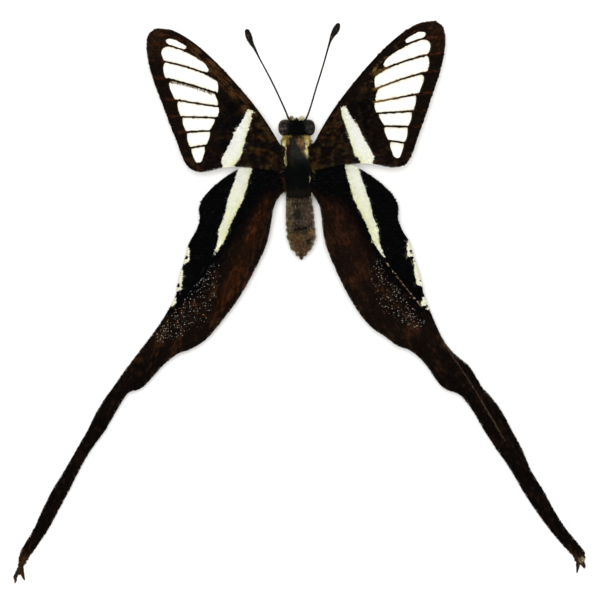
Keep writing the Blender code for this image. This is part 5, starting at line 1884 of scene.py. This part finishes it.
class DRAGONTAIL_OT_scales(bpy.types.Operator):
    """Cover both faces of every wing with scales, and add the fringes"""

    bl_idname = "dragontail.scales"
    bl_label = "Wing scales"

    def execute(self, context):
        for wing in every_wing():
            for under in (False, True):
                build_scale_coat(wing, under)
            build_fringe(wing)
        for wing in every_wing("fore"):
            build_stray_scales(wing)
        return {"FINISHED"}


class DRAGONTAIL_OT_white_dots(bpy.types.Operator):
    """Scatter the single white scales of the hindwings"""

    bl_idname = "dragontail.white_dots"
    bl_label = "White scales"

    def execute(self, context):
        for wing in every_wing("hind"):
            build_white_dots(wing)
        return {"FINISHED"}


class DRAGONTAIL_OT_body(bpy.types.Operator):
    """Build the skin of head, thorax and abdomen with its coat"""

    bl_idname = "dragontail.body"
    bl_label = "Body and coat"

    def execute(self, context):
        look = settings().body
        skin = Skin()
        build_skin(skin)
        for name, count, span, long, seed, lift, swirl, curl in (
            ("thorax_hair", look.thorax_hairs, (-3.9, 4.3), mm(look.hair), 41, (8, 24), 13, 0.12),
            ("head_hair", look.head_hairs, (-5.75, -3.6), 0.42, 43, (10, 40), 22, 0.1),
        ):
            build_body_hair(skin, name, count, span, long, seed, lift, swirl, curl)
        build_abdomen_coat(skin)
        build_abdomen_tufts(skin)
        build_tufts(skin)
        return {"FINISHED"}


class DRAGONTAIL_OT_head_parts(bpy.types.Operator):
    """Build eyes, antennae, palps and tongue"""

    bl_idname = "dragontail.head_parts"
    bl_label = "Eyes and feelers"

    def execute(self, context):
        build_eyes()
        build_antennae()
        build_palps()
        build_tongue()
        return {"FINISHED"}


class DRAGONTAIL_OT_legs(bpy.types.Operator):
    """Build the six legs with spurs, claws and hair"""

    bl_idname = "dragontail.legs"
    bl_label = "Legs"

    def execute(self, context):
        build_legs()
        return {"FINISHED"}


class DRAGONTAIL_OT_stage(bpy.types.Operator):
    """Build the floor, the soft light and the camera above the specimen"""

    bl_idname = "dragontail.stage"
    bl_label = "Stage"

    def execute(self, context):
        build_stage()
        return {"FINISHED"}


OPERATORS = (
    DRAGONTAIL_OT_body,
    DRAGONTAIL_OT_head_parts,
    DRAGONTAIL_OT_legs,
    DRAGONTAIL_OT_membranes,
    DRAGONTAIL_OT_scales,
    DRAGONTAIL_OT_white_dots,
    DRAGONTAIL_OT_stage,
)


class DRAGONTAIL_PT_panel(bpy.types.Panel):
    bl_label = "Green dragontail"
    bl_space_type = "VIEW_3D"
    bl_region_type = "UI"
    bl_category = "Dragontail"

    def draw(self, context):
        layout = self.layout
        for operator in OPERATORS:
            layout.operator(operator.bl_idname)
        specimen = context.scene.dragontail
        for group in (specimen.wings, specimen.body, specimen.stage):
            box = layout.box()
            for name in group.__annotations__:
                box.prop(group, name)


CLASSES = (WingSettings, BodySettings, StageSettings, SpecimenSettings, *OPERATORS, DRAGONTAIL_PT_panel)


def register():
    for each in CLASSES:
        bpy.utils.register_class(each)
    bpy.types.Scene.dragontail = PointerProperty(
        type=SpecimenSettings, name="Dragontail", description="Sizes and colours of the specimen"
    )


def unregister():
    del bpy.types.Scene.dragontail
    for each in reversed(CLASSES):
        bpy.utils.unregister_class(each)


def main():
    register()
    bpy.ops.dragontail.body()
    bpy.ops.dragontail.head_parts()
    bpy.ops.dragontail.legs()
    bpy.ops.dragontail.membranes()
    bpy.ops.dragontail.scales()
    bpy.ops.dragontail.white_dots()
    bpy.ops.dragontail.stage()


if __name__ == "__main__":
    main()
